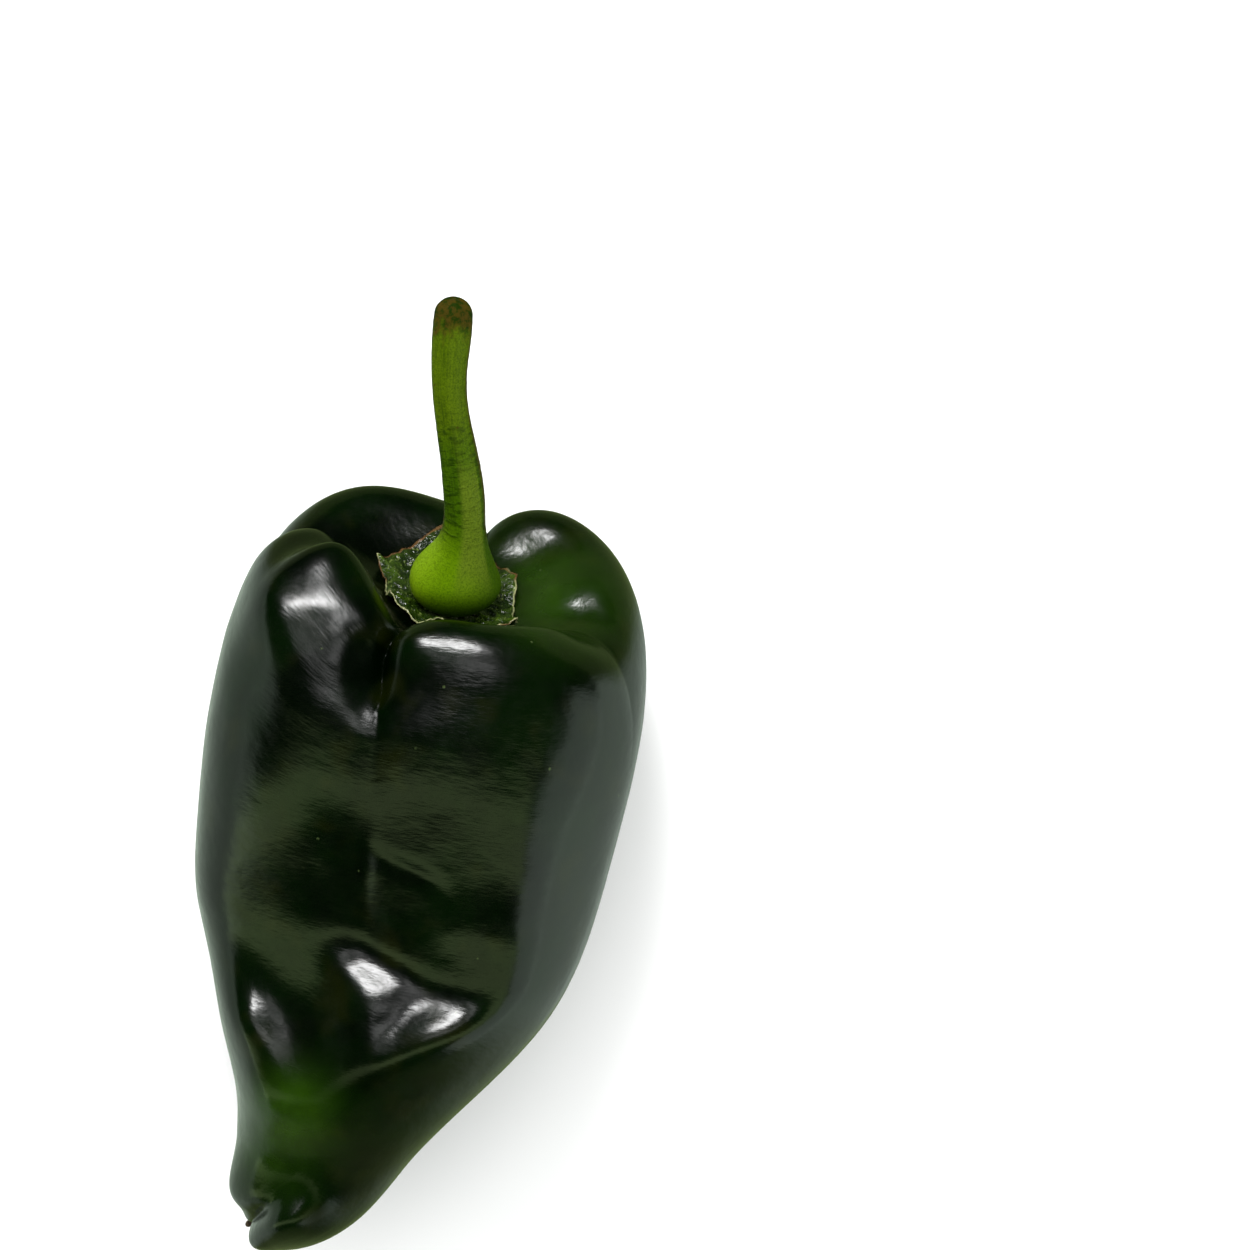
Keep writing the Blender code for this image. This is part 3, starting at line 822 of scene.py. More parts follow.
@dataclass(frozen=True)
class LeafFinish:
    """The calyx: a thin crumpled leaf, with painted shade low in its folds and painted light on their
    crests, and a dry, torn brown edge.
    """

    leaf: Colour = (0.030, 0.060, 0.0030)
    # The fold colour is painted shade low in the folds and also random dark patches; the rib colour is
    # painted light on the crests, paler ribs towards the corners and pale scuffs.
    fold: Colour = (0.004, 0.012, 0.0005)
    rib: Colour = (0.120, 0.160, 0.035)
    edge: Colour = (0.270, 0.280, 0.130)
    torn: Colour = (0.090, 0.045, 0.015)
    gloss: float = 1.50
    leaf_roughness: Fade = Fade(0.3, 0.7, 0.14, 0.30)
    painted_fold_shade: Fade = Fade(0.20, 0.70)
    crest_light_and_ribs: Fade = Fade(0.72, 0.92, 0.0, 0.7)
    patches: Grain = Grain(900, 4.0, 0.65, 21)
    patched: Fade = Fade(0.45, 0.65, 0.0, 0.7)
    scuffs: Grain = Grain(1500, 3.0, 0.6, 23, (1.0, 0.6, 1.0))
    scuffed: Fade = Fade(0.56, 0.70, 0.0, 0.75)
    edge_unevenness: float = 0.03
    at_edge: Fade = Fade(0.985, 0.998)
    near_edge: Fade = Fade(0.975, 0.990)
    browning: Grain = Grain(160, 2.0, 0.5, 24)
    browned: Fade = Fade(0.46, 0.54)
    puckers: Grain = Grain(560, 3.0, 0.6, 22)
    pucker_height: float = 0.00110

    def material(self) -> Material:
        """The finish as a material."""
        material, board, shader = new_finish("calyx_leaf")
        here = board.object_place()
        height = board.attribute("crumple")
        patches = board.noise(here, self.patches)
        out = board.plus(board.attribute("outness"), board.times(patches, self.edge_unevenness))
        browned = board.patches(here, self.browning, self.browned)
        colour = board.layers(
            self.fold,
            # Painted shade: the fold colour stays where the folds lie low.
            (board.fade(height, self.painted_fold_shade), self.leaf),
            (board.fade(patches, self.patched), self.fold),
            (board.patches(here, self.scuffs, self.scuffed), self.rib),
            # Painted light on the crests of the folds, partly paler ribs towards the corners.
            (board.fade(height, self.crest_light_and_ribs), self.rib),
            (board.fade(out, self.at_edge), self.edge),
            (board.times(browned, board.fade(out, self.near_edge)), self.torn),
        )
        board.feed_all(shader, {
            "Base Color": colour,
            "Roughness": board.fade(patches, self.leaf_roughness),
            "IOR": self.gloss,
            "Normal": board.bump(board.noise(here, self.puckers), self.pucker_height),
        })
        return material


@dataclass(frozen=True)
class ScarFinish:
    """The dried scar of the flower: matte brown, darker in its pits."""

    dry: Colour = (0.075, 0.045, 0.016)
    pit: Colour = (0.020, 0.012, 0.005)
    roughness: float = 0.8
    pits: Grain = Grain(2500, 3.0, 0.6, 31)
    pitted: Fade = Fade(0.35, 0.65)
    pit_depth: float = 0.00015

    def material(self) -> Material:
        """The finish as a material."""
        material, board, shader = new_finish("dried_scar_rough")
        pits = board.noise(board.object_place(), self.pits)
        board.feed_all(shader, {
            "Base Color": board.blend(board.fade(pits, self.pitted), self.pit, self.dry),
            "Roughness": self.roughness,
            "Normal": board.bump(pits, self.pit_depth),
        })
        return material


def closed_skin(name: str, place: Place, around: int, rings: int) -> tuple[Mesh, Array, Array]:
    """Makes a closed mesh with a pole at each end.

    Args:
        name: The mesh's name.
        place: Gives points in millimetres for shares of the way between the poles, and angles.
        around: How many points each ring has.
        rings: How many strips there are between the poles.

    Returns:
        The mesh, with the share and the angle of each of its points.
    """
    share = np.repeat(np.arange(1, rings) / rings, around)
    angle = np.tile(np.arange(around) * math.tau / around, rings - 1)
    share = np.concatenate([share, [0.0, 1.0]])
    angle = np.concatenate([angle, [0.0, 0.0]])
    first_pole, last_pole = len(share) - 2, len(share) - 1
    faces = []
    for ring in range(rings - 2):
        for i in range(around):
            a = ring * around + i
            b = ring * around + (i + 1) % around
            faces.append((a, b, b + around, a + around))
    for i in range(around):
        after = (i + 1) % around
        last_ring = (rings - 2) * around
        faces.append((first_pole, after, i))
        faces.append((last_pole, last_ring + i, last_ring + after))
    mesh = bpy.data.meshes.new(name)
    mesh.from_pydata((place(share, angle) * MM).tolist(), [], faces)
    mesh.shade_smooth()
    return mesh, share, angle


def face_outwards(mesh: Mesh) -> None:
    """Turns the faces of a closed mesh round if they point inwards."""
    points = np.array([vertex.co for vertex in mesh.vertices], float)
    mesh.calc_loop_triangles()
    triangles = np.array([triangle.vertices for triangle in mesh.loop_triangles])
    a, b, c = (points[triangles[:, i]] for i in range(3))
    if np.einsum("ij,ij->i", a, np.cross(b, c)).sum() < 0:
        mesh.flip_normals()


def give_numbers(mesh: Mesh, name: str, values: Array) -> None:
    """Stores a number or a vector for each point of a mesh, under a name that its finish reads."""
    kind = "FLOAT" if values.ndim == 1 else "FLOAT_VECTOR"
    attribute = mesh.attributes.new(name, kind, "POINT")
    attribute.data.foreach_set("value" if values.ndim == 1 else "vector", values.astype(np.float32).ravel())


def add_piece(name: str, mesh: Mesh, finish: Material) -> Piece:
    """An object at the frame's origin for a mesh, with its finish."""
    piece = bpy.data.objects.new(name, mesh)
    bpy.context.scene.collection.objects.link(piece)
    mesh.materials.append(finish)
    return piece


def settle(piece: Piece, node: str) -> None:
    """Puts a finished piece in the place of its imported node.

    Args:
        piece: The finished piece.
        node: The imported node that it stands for.
    """
    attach(piece, BODY)
    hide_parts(node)


def node_group(name: str, inputs: dict[str, object]) -> tuple[Tree, Board, Node]:
    """Starts a geometry node tree.

    Args:
        name: The tree's name.
        inputs: The value of each named input: a whole number, a number or a material.

    Returns:
        The tree, the board for its nodes, and its input node.
    """
    tree = bpy.data.node_groups.new(name, "GeometryNodeTree")
    for in_out in ("INPUT", "OUTPUT"):
        tree.interface.new_socket("Geometry", in_out=in_out, socket_type="NodeSocketGeometry")
    for title, value in inputs.items():
        kind = NUMBER_SOCKETS.get(type(value), "NodeSocketMaterial")
        tree.interface.new_socket(title, in_out="INPUT", socket_type=kind)
    board = Board(tree)
    return tree, board, board.add("NodeGroupInput")


def finish_group(board: Board, geometry: Socket, finish: Socket) -> None:
    """Ends a geometry node tree: real geometry, with its finish."""
    real = board.add("GeometryNodeRealizeInstances", {0: geometry}).outputs[0]
    dressed = board.add("GeometryNodeSetMaterial", {"Geometry": real, "Material": finish}).outputs[0]
    board.add("NodeGroupOutput", {0: dressed})


def run_group(source: Piece, tree: Tree, inputs: dict[str, object], name: str) -> Mesh:
    """Runs a geometry node tree on an object, which is then removed.

    Args:
        source: The object that it starts from.
        tree: The tree.
        inputs: The value of each named input.
        name: The new mesh's name.

    Returns:
        The result as a plain mesh.
    """
    modifier = source.modifiers.new(tree.name, "NODES")
    modifier.node_group = tree
    for item in tree.interface.items_tree:
        if item.item_type == "SOCKET" and item.in_out == "INPUT" and item.name in inputs:
            modifier[item.identifier] = inputs[item.name]
    bpy.context.view_layer.update()
    evaluated = source.evaluated_get(bpy.context.evaluated_depsgraph_get())
    mesh = bpy.data.meshes.new_from_object(evaluated)
    mesh.name = name
    bpy.data.objects.remove(source)
    return mesh


@dataclass
class Pod:
    """The pod's glossy skin, with its hollow shoulder, lobes, folds and cleft blossom end."""

    form: PodForm
    around: int = 384
    rings: int = 250
    wave_height: float = 0.10
    wave_length: float = 16.0
    dent_height: float = 0.035
    dent_length: float = 4.5
    dent_seed_shift: float = 5.0
    wave_layers: float = 1.0
    flat_height: float = 3.0
    seed: int = 7
    pale_areas: tuple[Area, ...] = (
        Area(-20.5, -53.0, 7.0, 0.55),
        Area(-26.0, -60.0, 8.0, 0.30),
        Area(21.0, 33.0, 7.0, 0.45),
        Area(29.0, 30.0, 9.0, 0.16),
        Area(12.0, 42.0, 6.0, 0.20),
    )
    dull_areas: tuple[Area, ...] = (
        Area(-5.2, 23.5, 2.8, 1.0), Area(-5.4, 18.8, 2.6, 1.0), Area(-5.6, 14.5, 2.2, 1.0),
        Area(-5.8, 11.0, 1.6, 0.8), Area(-23.5, -46.5, 3.0, 0.8), Area(-18.5, -50.0, 3.5, 0.8),
        Area(-13.0, -50.0, 3.5, 0.7), Area(-8.0, -48.5, 3.5, 0.5), Area(-23.0, -65.5, 2.6, 0.7),
        Area(-19.0, -65.8, 2.6, 0.7), Area(-16.6, -69.0, 2.4, 0.7), Area(-17.0, -72.5, 2.4, 0.6),
    )
    wavy_past_rim: Pair = (0.8, 1.4)
    unrolled_length: float = 1.25

    def build(self) -> Piece:
        """The finished pod, as one piece."""
        mesh, share, angle = closed_skin("pod_skin", self.form.points, self.around, self.rings)
        face_outwards(mesh)
        points = np.array([vertex.co for vertex in mesh.vertices], float) / MM
        give_numbers(mesh, "waviness", self.waviness(points, share))
        give_numbers(mesh, "skin_place", self.skin_place(share, angle))
        give_numbers(mesh, "paleness", self.patches(points, self.pale_areas))
        give_numbers(mesh, "dullness", self.patches(points, self.dull_areas))
        finish = SkinFinish().material()
        smooth = add_piece("pod_smooth", mesh, finish)
        inputs = {
            "Wave Height": self.wave_height * MM,
            "Wave Length": self.wave_length * MM,
            "Dent Height": self.dent_height * MM,
            "Dent Length": self.dent_length * MM,
            "Seed": float(self.seed),
            "Finish": finish,
        }
        wavy = run_group(smooth, self.wave_tree(inputs), inputs, "pod_skin")
        return add_piece("pod_skin", wavy, finish)

    def waviness(self, points: Array, share: Array) -> Array:
        """How wavy the skin may be at each point: not in the hollow, and not where it rests."""
        outside = smooth_step(*self.wavy_past_rim, share / self.form.rim_share)
        return outside * smooth_step(0.0, self.flat_height, points[:, 2])

    def skin_place(self, share: Array, angle: Array) -> Array:
        """Each point's place on an unrolled, tube-like skin, in metres, with its length as Z."""
        radius = self.form.stations[2].half_width
        length = self.form.end * self.unrolled_length
        return np.stack([radius * np.cos(angle), radius * np.sin(angle), length * share], axis=-1) * MM

    @staticmethod
    def patches(points: Array, areas: Sequence[Area]) -> Array:
        """How far each point lies inside some round areas, from 0 to 1."""
        total = np.zeros(len(points))
        for area in areas:
            away = np.hypot(points[:, 0] - area.x, points[:, 1] - area.y) / area.radius
            total += area.amount * np.exp(-(away**2))
        return np.clip(total, 0, 1)

    def wave_tree(self, inputs: dict[str, object]) -> Tree:
        """Geometry nodes that move the skin in and out in long waves and small dents."""
        tree, board, start = node_group("pod_skin_waves", inputs)
        place = board.add("GeometryNodeInputPosition").outputs[0]
        outward = board.add("GeometryNodeInputNormal").outputs[0]
        total: object = 0.0
        for title, seed_shift in (("Wave", 0.0), ("Dent", self.dent_seed_shift)):
            scale = board.math("DIVIDE", 1.0, start.outputs[f"{title} Length"])
            seed = board.plus(start.outputs["Seed"], seed_shift)
            swell = board.minus(board.noise(place, Grain(scale, self.wave_layers, seed=seed)), 0.5)
            total = board.plus(total, board.times(swell, 2.0, start.outputs[f"{title} Height"]))
        shift = board.scaled(outward, board.times(total, board.stored("waviness", "FLOAT")))
        moved = board.add("GeometryNodeSetPosition", {"Geometry": start.outputs["Geometry"], "Offset": shift})
        finish_group(board, moved.outputs[0], start.outputs["Finish"])
        return tree


@dataclass
class Calyx:
    """The thin, crumpled collar on the bottom of the hollow, with a corner at each angle given."""

    form: PodForm
    corners: tuple = ((35, 15.0), (92, 11.6), (149, 11.0), (209, 14.2), (265, 14.6), (330, 13.2))
    edge_curve: float = 0.16
    thickness: float = 0.45
    clearance: float = 0.35
    edge_bluntness: int = 10
    curl: float = 1.0
    curl_sharpness: int = 4
    edge_roundness: float = 0.8
    tears: tuple = ((0.007, 17, 1.0), (0.006, 31, 0.0))
    crumple_height: float = 2.0
    crumple_length: float = 3.0
    # Roughness, spacing, layers, offset and gain of the noise that makes the ridges of the folds.
    crumple_kind: tuple = (0.9, 2.1, 4, 0.9, 2.0)
    crumple_peak: float = 2.2
    fold_share: float = 0.75
    rib_share: float = 0.35
    rib_sharpness: int = 3
    around: int = 288
    rings: int = 80

    def build(self) -> Piece:
        """The finished calyx, as one piece."""
        mesh, share, angle = closed_skin("calyx_leaf", self.points, self.around, self.rings)
        face_outwards(mesh)
        give_numbers(mesh, "crumple", self.crumple(share, angle))
        give_numbers(mesh, "outness", self.outness(share))
        return add_piece("calyx_leaf", mesh, LeafFinish().material())

    @staticmethod
    def outness(share: Array) -> Array:
        """How far out towards the edge each point lies, from 0 to 1, on either face."""
        return 2 * np.minimum(share, 1 - share)

    def reach(self, angle: Array) -> tuple[Array, Array]:
        """How far the calyx reaches at each angle, and how near that is to a corner."""
        corners = np.array(self.corners, float)
        turn = np.degrees(angle) % 360
        i = (np.searchsorted(corners[:, 0], turn, side="right") - 1) % len(corners)
        after = (i + 1) % len(corners)
        width = (corners[after, 0] - corners[i, 0]) % 360
        share = ((turn - corners[i, 0]) % 360) / width
        between = np.sin(math.pi * share) ** self.edge_roundness
        straight = corners[i, 1] + (corners[after, 1] - corners[i, 1]) * share
        tears = 1 + sum(depth * np.sin(count * angle + turn) for depth, count, turn in self.tears)
        return straight * (1 - self.edge_curve * between) * tears, 1 - between

    def crumple(self, share: Array, angle: Array) -> Array:
        """How high the sheet's folds stand at each point, from 0 to 1."""
        out = self.outness(share)
        reach, at_corner = self.reach(angle)
        folds = []
        for distance, turn in zip(out * reach, angle):
            here = Vector((distance * math.cos(turn), distance * math.sin(turn), 0.0)) / self.crumple_length
            folds.append(noise.ridged_multi_fractal(here, *self.crumple_kind))
        folds = np.clip(np.array(folds) / self.crumple_peak, 0, 1)
        return np.clip(self.fold_share * folds + self.rib_share * at_corner**self.rib_sharpness, 0, 1)

    def points(self, share: Array, angle: Array) -> Array:
        """Points of the sheet: its upper face out to the edge, then its lower face back to the middle."""
        out = self.outness(share)
        reach, at_corner = self.reach(angle)
        floor = self.form.share_at(out * reach, angle)
        thickness = np.where(share < 0.5, self.thickness * np.sqrt(1 - out**self.edge_bluntness), 0.0)
        folds = self.crumple_height * self.crumple(share, angle) * np.sqrt(np.clip(out, 0, 1))
        lift = self.clearance + thickness + folds + self.curl * at_corner * out**self.curl_sharpness
        return self.form.points(floor, angle) + lift[..., None] * self.form.outward(floor, angle)


@dataclass
class Stem:
    """The stalk, with its swollen foot on the calyx, soft ribs, fine wrinkles and a dried cut end."""

    stations: tuple[StemStation, ...] = (
        StemStation(6.0, 32.1, 41.1, 6.60),
        StemStation(6.1, 33.4, 42.3, 7.50),
        StemStation(6.6, 36.0, 44.4, 6.70),
        StemStation(7.5, 40.2, 47.6, 4.20),
        StemStation(7.8, 47.0, 51.6, 3.35),
        StemStation(6.9, 55.0, 54.9, 3.00),
        StemStation(5.9, 61.4, 56.9, 2.75),
        StemStation(5.6, 67.8, 58.4, 2.85),
        StemStation(6.1, 74.3, 59.4, 3.15),
        StemStation(6.5, 79.6, 59.9, 2.90),
    )
    steps: int = 300
    around: int = 96
    end_length: float = 2.6
    least_end: float = 0.0001
    foot_length: float = 1.2
    foot_start: float = 0.75
    ribs: float = 5.0
    rib_height: float = 0.16
    rib_twist: float = 18.0
    ribs_begin: Fade = Fade(0.012, 0.022)
    wrinkle_height: float = 0.20
    wrinkle_length: float = 1.6
    wrinkle_crowding: Triple = (0.45, 0.45, 1.6)
    wrinkle_roughness: float = 0.55
    wrinkles_begin: Fade = Fade(0.004, 0.010)
    wrinkles_end: Fade = Fade(0.030, 0.045, 1.0, 0.35)
    lump_height: float = 0.55
    lumps: Grain = Grain(380.0, 2.0, 0.5, 9.0)
    lumps_grow: Fade = Fade(0.048, 0.054, 0.15, 1.0)
    surface_radius: float = 3.0
    seed: int = 3

    def build(self) -> Piece:
        """The finished stem, as one piece."""
        finish = StalkFinish().material()
        line = bpy.data.objects.new("stalk_line", self.centre_line())
        bpy.context.scene.collection.objects.link(line)
        inputs = {
            "Around": self.around,
            "Ribs": self.ribs,
            "Rib Height": self.rib_height * MM,
            "Wrinkle Height": self.wrinkle_height * MM,
            "Wrinkle Length": self.wrinkle_length * MM,
            "Lump Height": self.lump_height * MM,
            "Seed": float(self.seed),
            "Finish": finish,
        }
        mesh = run_group(line, self.stalk_tree(inputs), inputs, "stalk")
        face_outwards(mesh)
        return add_piece("stalk", mesh, finish)

    def centre_line(self) -> bpy.types.Curve:
        """The stem's centre line as a curve, with the stem's radius at each point."""
        knots = along([station[:3] for station in self.stations])
        line = SmoothLine(knots, self.stations)
        curve = bpy.data.curves.new("stalk_line", "CURVE")
        curve.dimensions = "3D"
        spline = curve.splines.new("POLY")
        spline.points.add(self.steps - 1)
        for i, point in enumerate(spline.points):
            way = (1 - math.cos(math.pi * i / (self.steps - 1))) / 2
            x, y, z, radius = line(knots[-1] * way)
            to_end = min(knots[-1] * (1 - way) / self.end_length, 1.0)
            from_foot = min(knots[-1] * way / self.foot_length, 1.0)
            round_off = math.sqrt(max(1 - (1 - to_end) ** 2, self.least_end))
            bulge = math.sqrt(max(1 - (1 - from_foot) ** 2, 0.0))
            round_on = self.foot_start + (1 - self.foot_start) * bulge
            point.co = (x * MM, y * MM, z * MM, 1.0)
            point.radius = radius * MM * round_off * round_on
        return curve

    def stalk_tree(self, inputs: dict[str, object]) -> Tree:
        """Geometry nodes that sweep the stem along its line and give it ribs, wrinkles and lumps."""
        tree, board, start = node_group("stalk_sweep", inputs)
        given = start.outputs
        travel = board.add("GeometryNodeSplineParameter").outputs["Length"]
        line = board.store(given["Geometry"], "travel", travel, "FLOAT")
        ring = board.add("GeometryNodeCurvePrimitiveCircle", {"Resolution": given["Around"], "Radius": 1.0})
        turned = board.add("GeometryNodeInputPosition").outputs[0]
        ring = board.store(ring.outputs[0], "turned", turned, "FLOAT_VECTOR")
        size = board.add("GeometryNodeInputRadius").outputs[0]
        sweep = {"Curve": line, "Profile Curve": ring, "Scale": size, "Fill Caps": True}
        tube = board.add("GeometryNodeCurveToMesh", sweep).outputs[0]
        way = board.stored("travel", "FLOAT")
        side = board.stored("turned", "FLOAT_VECTOR")
        across, up, _ = board.split(side)
        radius = self.surface_radius * MM
        surface = board.vector_math("MULTIPLY", side, (radius, radius, 0.0))
        lengthways = board.add("ShaderNodeCombineXYZ", {2: way}).outputs[0]
        place = board.vector_math("ADD", surface, lengthways)
        turn = board.times(board.math("ARCTAN2", up, across), given["Ribs"])
        rib = board.math("COSINE", board.plus(turn, board.times(way, self.rib_twist)))
        rib = board.times(rib, board.fade(way, self.ribs_begin), given["Rib Height"])
        scale = board.math("DIVIDE", 1.0, given["Wrinkle Length"])
        wrinkles = Grain(scale, 2.0, self.wrinkle_roughness, given["Seed"], self.wrinkle_crowding)
        on_neck = board.times(board.fade(way, self.wrinkles_begin), board.fade(way, self.wrinkles_end))
        wrinkle = board.minus(board.noise(place, wrinkles), 0.5)
        wrinkle = board.times(wrinkle, on_neck, given["Wrinkle Height"])
        lump = board.minus(board.noise(place, self.lumps), 0.5)
        lump = board.times(lump, board.fade(way, self.lumps_grow), given["Lump Height"])
        height = board.plus(rib, board.plus(wrinkle, lump))
        shift = board.scaled(board.add("GeometryNodeInputNormal").outputs[0], height)
        kept = board.store(tube, "stalk_place", place, "FLOAT_VECTOR")
        moved = board.add("GeometryNodeSetPosition", {"Geometry": kept, "Offset": shift}).outputs[0]
        smooth = board.add("GeometryNodeSetShadeSmooth", {"Geometry": moved, "Shade Smooth": True}).outputs[0]
        finish_group(board, smooth, given["Finish"])
        return tree


@dataclass
class StyleScar:
    """The tiny dried nub left by the flower, in the cleft at the blossom end."""

    form: PodForm
    length: float = 1.6
    radius: float = 0.55
    clearance: float = 0.3
    lumpiness: float = 0.16
    lumps_round_it: int = 3
    lump_twist: float = 5.0
    bluntness: float = 0.8
    around: int = 32
    rings: int = 24

    def build(self) -> Piece:
        """The finished scar, as one piece."""
        mesh, _, _ = closed_skin("dried_scar", self.points, self.around, self.rings)
        face_outwards(mesh)
        return add_piece("dried_scar", mesh, ScarFinish().material())

    def points(self, share: Array, angle: Array) -> Array:
        """Points of the nub, from its foot by the skin to its lumpy round end."""
        way = self.clearance + self.length * (1 - np.cos(math.pi * share)) / 2
        centre, _, _, across, up = self.form.frame(self.form.end + way)
        bulge = np.sin(math.pi * share)
        lumps = np.sin(self.lumps_round_it * angle + self.lump_twist * share)
        lumpy = 1 + self.lumpiness * lumps * bulge
        radius = self.radius * bulge**self.bluntness * lumpy
        side, height = radius * np.cos(angle), radius * np.sin(angle)
        return centre + side[..., None] * across + height[..., None] * up


class Panel(NamedTuple):
    """A rectangular lamp: its place, what it faces, its size, in metres, how bright its middle looks,
    the share of its width over which each edge fades, and its colour."""

    place: Triple
    faces: Triple
    size: Pair
    radiance: float
    fade: float
    colour: Colour


class Lamp(Enum):
    """The studio's panels."""

    KEY = Panel((-0.11, 0.70, 0.82), (0.0, -0.01, 0.04), (0.44, 0.34), 80.0, 0.50, (1.0, 1.0, 1.0))
    STRIP = Panel((-0.02, 0.38, 1.20), (0.0, -0.01, 0.04), (0.80, 0.20), 5.5, 0.40, (1.0, 1.0, 1.0))
    LEFT = Panel((-1.30, -0.05, 0.14), (0.0, -0.01, 0.04), (2.00, 0.30), 0.9, 0.15, (0.80, 1.0, 0.80))
    RIGHT = Panel((1.15, -0.60, 0.42), (0.0, -0.01, 0.04), (2.00, 0.96), 1.6, 0.14, (0.84, 1.0, 0.86))


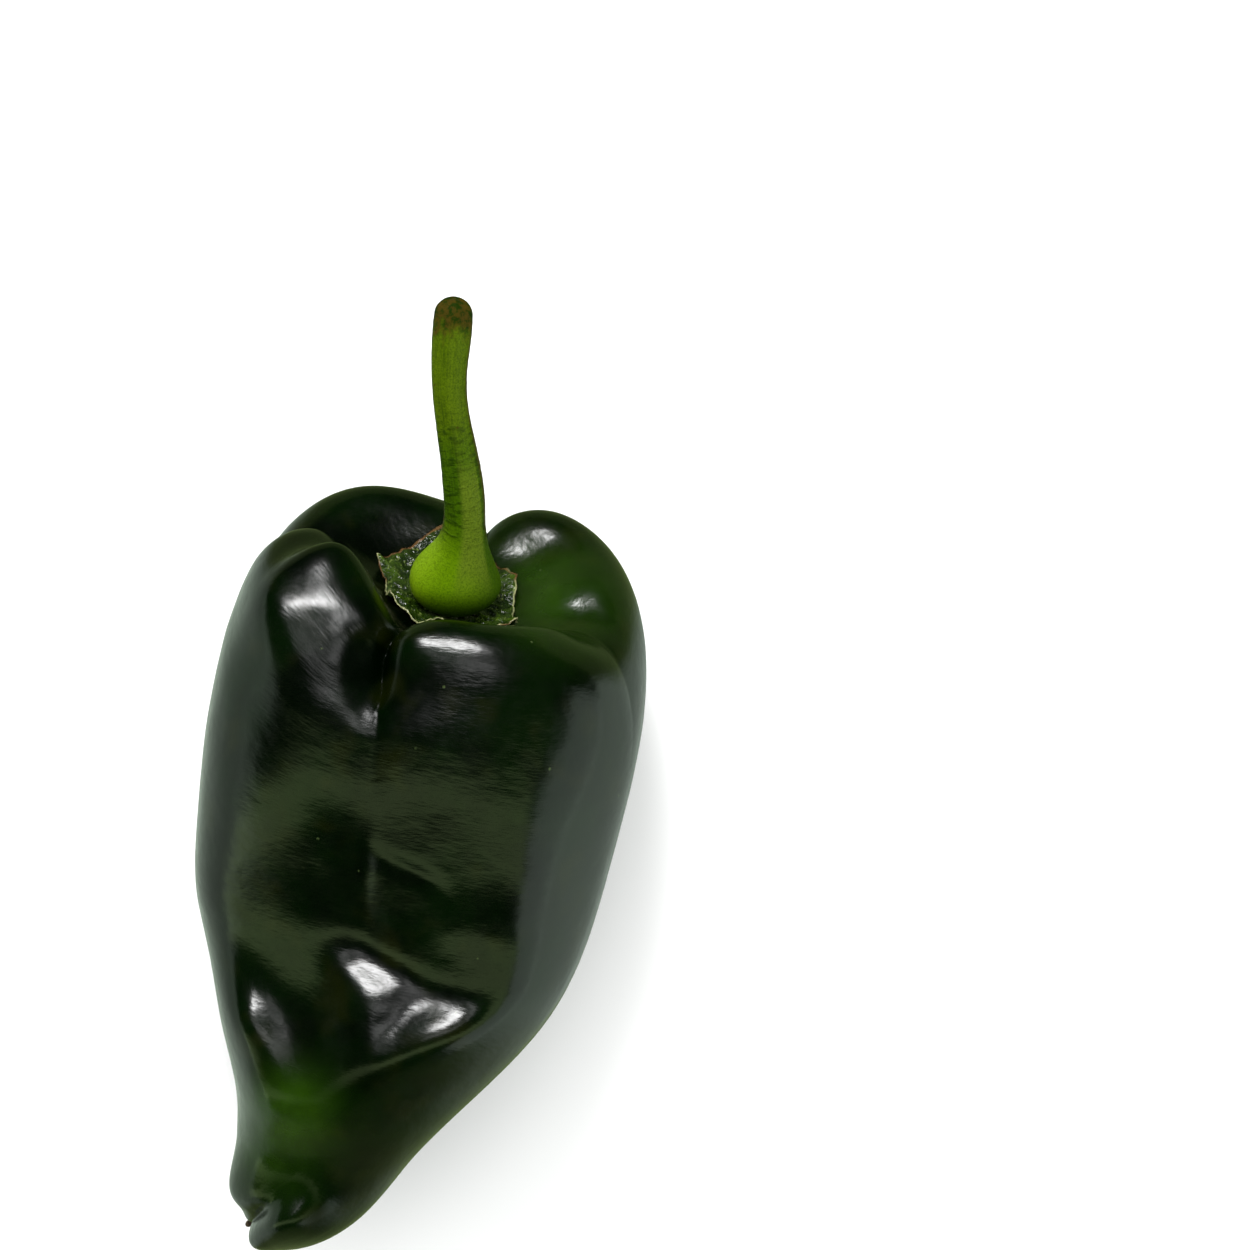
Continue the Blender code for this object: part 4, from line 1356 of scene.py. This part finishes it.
@dataclass
class Studio:
    """The pale floor, the lamps round it, the air behind and the camera above."""

    floor_size: float = 6.0
    floor_colour: Colour = (0.86, 0.86, 0.86)
    floor_grain: Grain = Grain(3.0, seed=41)
    floor_paler: float = 1.02
    floor_roughness: float = 0.9
    sky_seen: float = 0.90
    sky_reflected: float = 0.01
    ambient: float = 1.00
    left_ground: Colour = (0.66, 0.80, 0.66)
    right_ground: Colour = (1.40, 1.70, 1.42)
    near_right_ground: Colour = (0.42, 0.50, 0.43)
    ground_begins: Fade = Fade(0.45, 0.80)
    on_right: Fade = Fade(-0.1, 0.3)
    behind: Fade = Fade(0.15, 0.45)
    far_off: Fade = Fade(-0.95, 0.0)
    horizon: Fade = Fade(-0.02, 0.04)
    wall: Colour = (1.08, 1.45, 0.66)
    wall_begins: Fade = Fade(0.165, 0.255)
    wall_ends: Fade = Fade(0.465, 0.555, 1.0, 0.0)
    wall_side: Fade = Fade(0.66, 0.76, 1.0, 0.0)
    low_wall: Colour = (0.20, 0.27, 0.10)
    low_wall_begins: Fade = Fade(0.85, 1.0)
    fill: float = 1.1
    fill_softness: float = 120.0
    fill_from: Triple = (-0.10, 0.45, 0.85)
    camera_place: Triple = (0.0341, 0.0266, 1.0)
    camera_lens: float = 167.39
    camera_sensor: float = 36.0
    camera_nearest: float = 0.01

    def build(self) -> None:
        """Sets up the whole studio."""
        self.add_floor()
        self.add_lamps()
        self.add_fill()
        self.add_air()
        self.add_camera()

    def add_floor(self) -> None:
        """A plain pale floor at the resting height."""
        half = self.floor_size / 2
        mesh = bpy.data.meshes.new("floor")
        outline = [(-half, -half, 0), (half, -half, 0), (half, half, 0), (-half, half, 0)]
        mesh.from_pydata(outline, [], [(0, 1, 2, 3)])
        material, board, shader = new_finish("floor_card")
        grain = board.noise(board.object_place(), self.floor_grain)
        paler = tuple(min(part * self.floor_paler, 1.0) for part in self.floor_colour)
        colour = board.blend(grain, self.floor_colour, paler)
        board.feed_all(shader, {"Base Color": colour, "Roughness": self.floor_roughness})
        floor = add_piece("floor", mesh, material)
        floor.visible_glossy = False

    def add_lamps(self) -> None:
        """The panels whose reflections show in the skin. The camera doesn't see them directly."""
        for lamp in Lamp:
            panel = lamp.value
            light = bpy.data.lights.new(lamp.name.lower() + "_panel", "AREA")
            light.shape = "RECTANGLE"
            light.size, light.size_y = panel.size
            light.energy = panel.radiance * math.pi * panel.size[0] * panel.size[1]
            light.color = panel.colour
            self.fade_edges(light, panel.fade)
            holder = self.add_holder(light, panel.place, panel.faces)
            holder.visible_camera = False

    @staticmethod
    def fade_edges(light: bpy.types.Light, fade: float) -> None:
        """Dims a rectangular lamp towards its edges, over that share of its width and height."""
        light.use_nodes = True
        board = Board(light.node_tree)
        strength: object = 1.0
        for way in board.split(board.add("ShaderNodeNewGeometry").outputs["Parametric"])[:2]:
            to_edge = board.math("MINIMUM", way, board.minus(1.0, way))
            strength = board.times(strength, board.fade(to_edge, Fade(0.0, fade)))
        board.feed(light.node_tree.nodes["Emission"].inputs["Strength"], strength)

    def add_fill(self) -> None:
        """A broad, soft light that shows in no reflection."""
        light = bpy.data.lights.new("fill", "SUN")
        light.energy = self.fill
        light.angle = math.radians(self.fill_softness)
        holder = self.add_holder(light, self.fill_from, (0.0, 0.0, 0.0))
        holder.visible_glossy = False

    @staticmethod
    def add_holder(light: bpy.types.Light, place: Sequence, faces: Sequence) -> Piece:
        """An object for a light, at a place and turned to what it faces."""
        holder = bpy.data.objects.new(light.name, light)
        bpy.context.scene.collection.objects.link(holder)
        holder.location = place
        holder.rotation_euler = (Vector(faces) - Vector(place)).to_track_quat("-Z", "Y").to_euler()
        return holder

    def add_air(self) -> None:
        """A pale background, dim to the pepper but for a wide, soft wall on the side of its tip."""
        world = bpy.data.worlds.new("studio_air")
        world.use_nodes = True
        board = Board(world.node_tree)
        path = board.add("ShaderNodeLightPath").outputs
        toward = board.add("ShaderNodeTexCoord").outputs["Generated"]
        east, north, up = board.split(toward)
        south = board.times(north, -1.0)
        wall = board.times(board.fade(south, self.wall_begins), board.fade(south, self.wall_ends))
        wall = board.times(wall, board.fade(east, self.wall_side))
        level = board.vector_math("NORMALIZE", board.vector_math("MULTIPLY", toward, (1.0, 1.0, 0.0)))
        level_east, level_north, _ = board.split(level)
        on_right = board.fade(level_east, self.on_right)
        behind = board.times(on_right, board.fade(level_north, self.behind))
        sideways = board.fade(board.math("ABSOLUTE", level_east), self.ground_begins)
        sideways = board.times(sideways, board.minus(1.0, behind))
        far = board.blend(on_right, self.left_ground, self.right_ground)
        near = board.blend(on_right, self.left_ground, self.near_right_ground)
        ground = board.blend(board.fade(up, self.far_off), near, far)
        ground = board.blend(sideways, self.low_wall, ground)
        above = board.layers(
            (self.sky_reflected,) * 3,
            (wall, self.wall),
            (board.fade(south, self.low_wall_begins), self.low_wall),
        )
        reflected = board.blend(board.fade(up, self.horizon), ground, above)
        colour = board.layers(
            (self.ambient,) * 3,
            (path["Is Glossy Ray"], reflected),
            (path["Is Camera Ray"], (self.sky_seen,) * 3),
        )
        background = world.node_tree.nodes["Background"]
        board.feed_all(background, {"Color": colour, "Strength": 1.0})
        bpy.context.scene.world = world

    def add_camera(self) -> None:
        """The camera, straight above, with the picture's own framing."""
        camera = bpy.data.cameras.new("camera")
        camera.lens = self.camera_lens
        camera.sensor_width = self.camera_sensor
        camera.clip_start = self.camera_nearest
        holder = bpy.data.objects.new("camera", camera)
        bpy.context.scene.collection.objects.link(holder)
        holder.location = self.camera_place
        bpy.context.scene.camera = holder
        bpy.context.scene.view_settings.view_transform = "Standard"


def corners(box: tuple[Vector, Vector]) -> list[list[float]]:
    """The lowest and the highest corner of a box as plain lists."""
    return [list(corner) for corner in box]


def main() -> None:
    """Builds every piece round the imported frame, and the studio."""
    logging.basicConfig(level=logging.INFO, format="%(message)s")
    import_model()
    form = PodForm()
    pieces = (
        (Pod(form), "pod", "pod_skin"),
        (Calyx(form), "calyx", "calyx_green"),
        (Stem(), "stem", "stem_green"),
        (StyleScar(form), "style_scar", "dried_scar"),
    )
    for maker, node, slot in pieces:
        piece = maker.build()
        settle(piece, node)
        log.info("%s: %d faces, for %s", piece.name, len(piece.data.polygons), node)
    Studio().build()
    log.info("studio: %d lamps", len(Lamp) + 1)


if __name__ == "__main__":
    main()
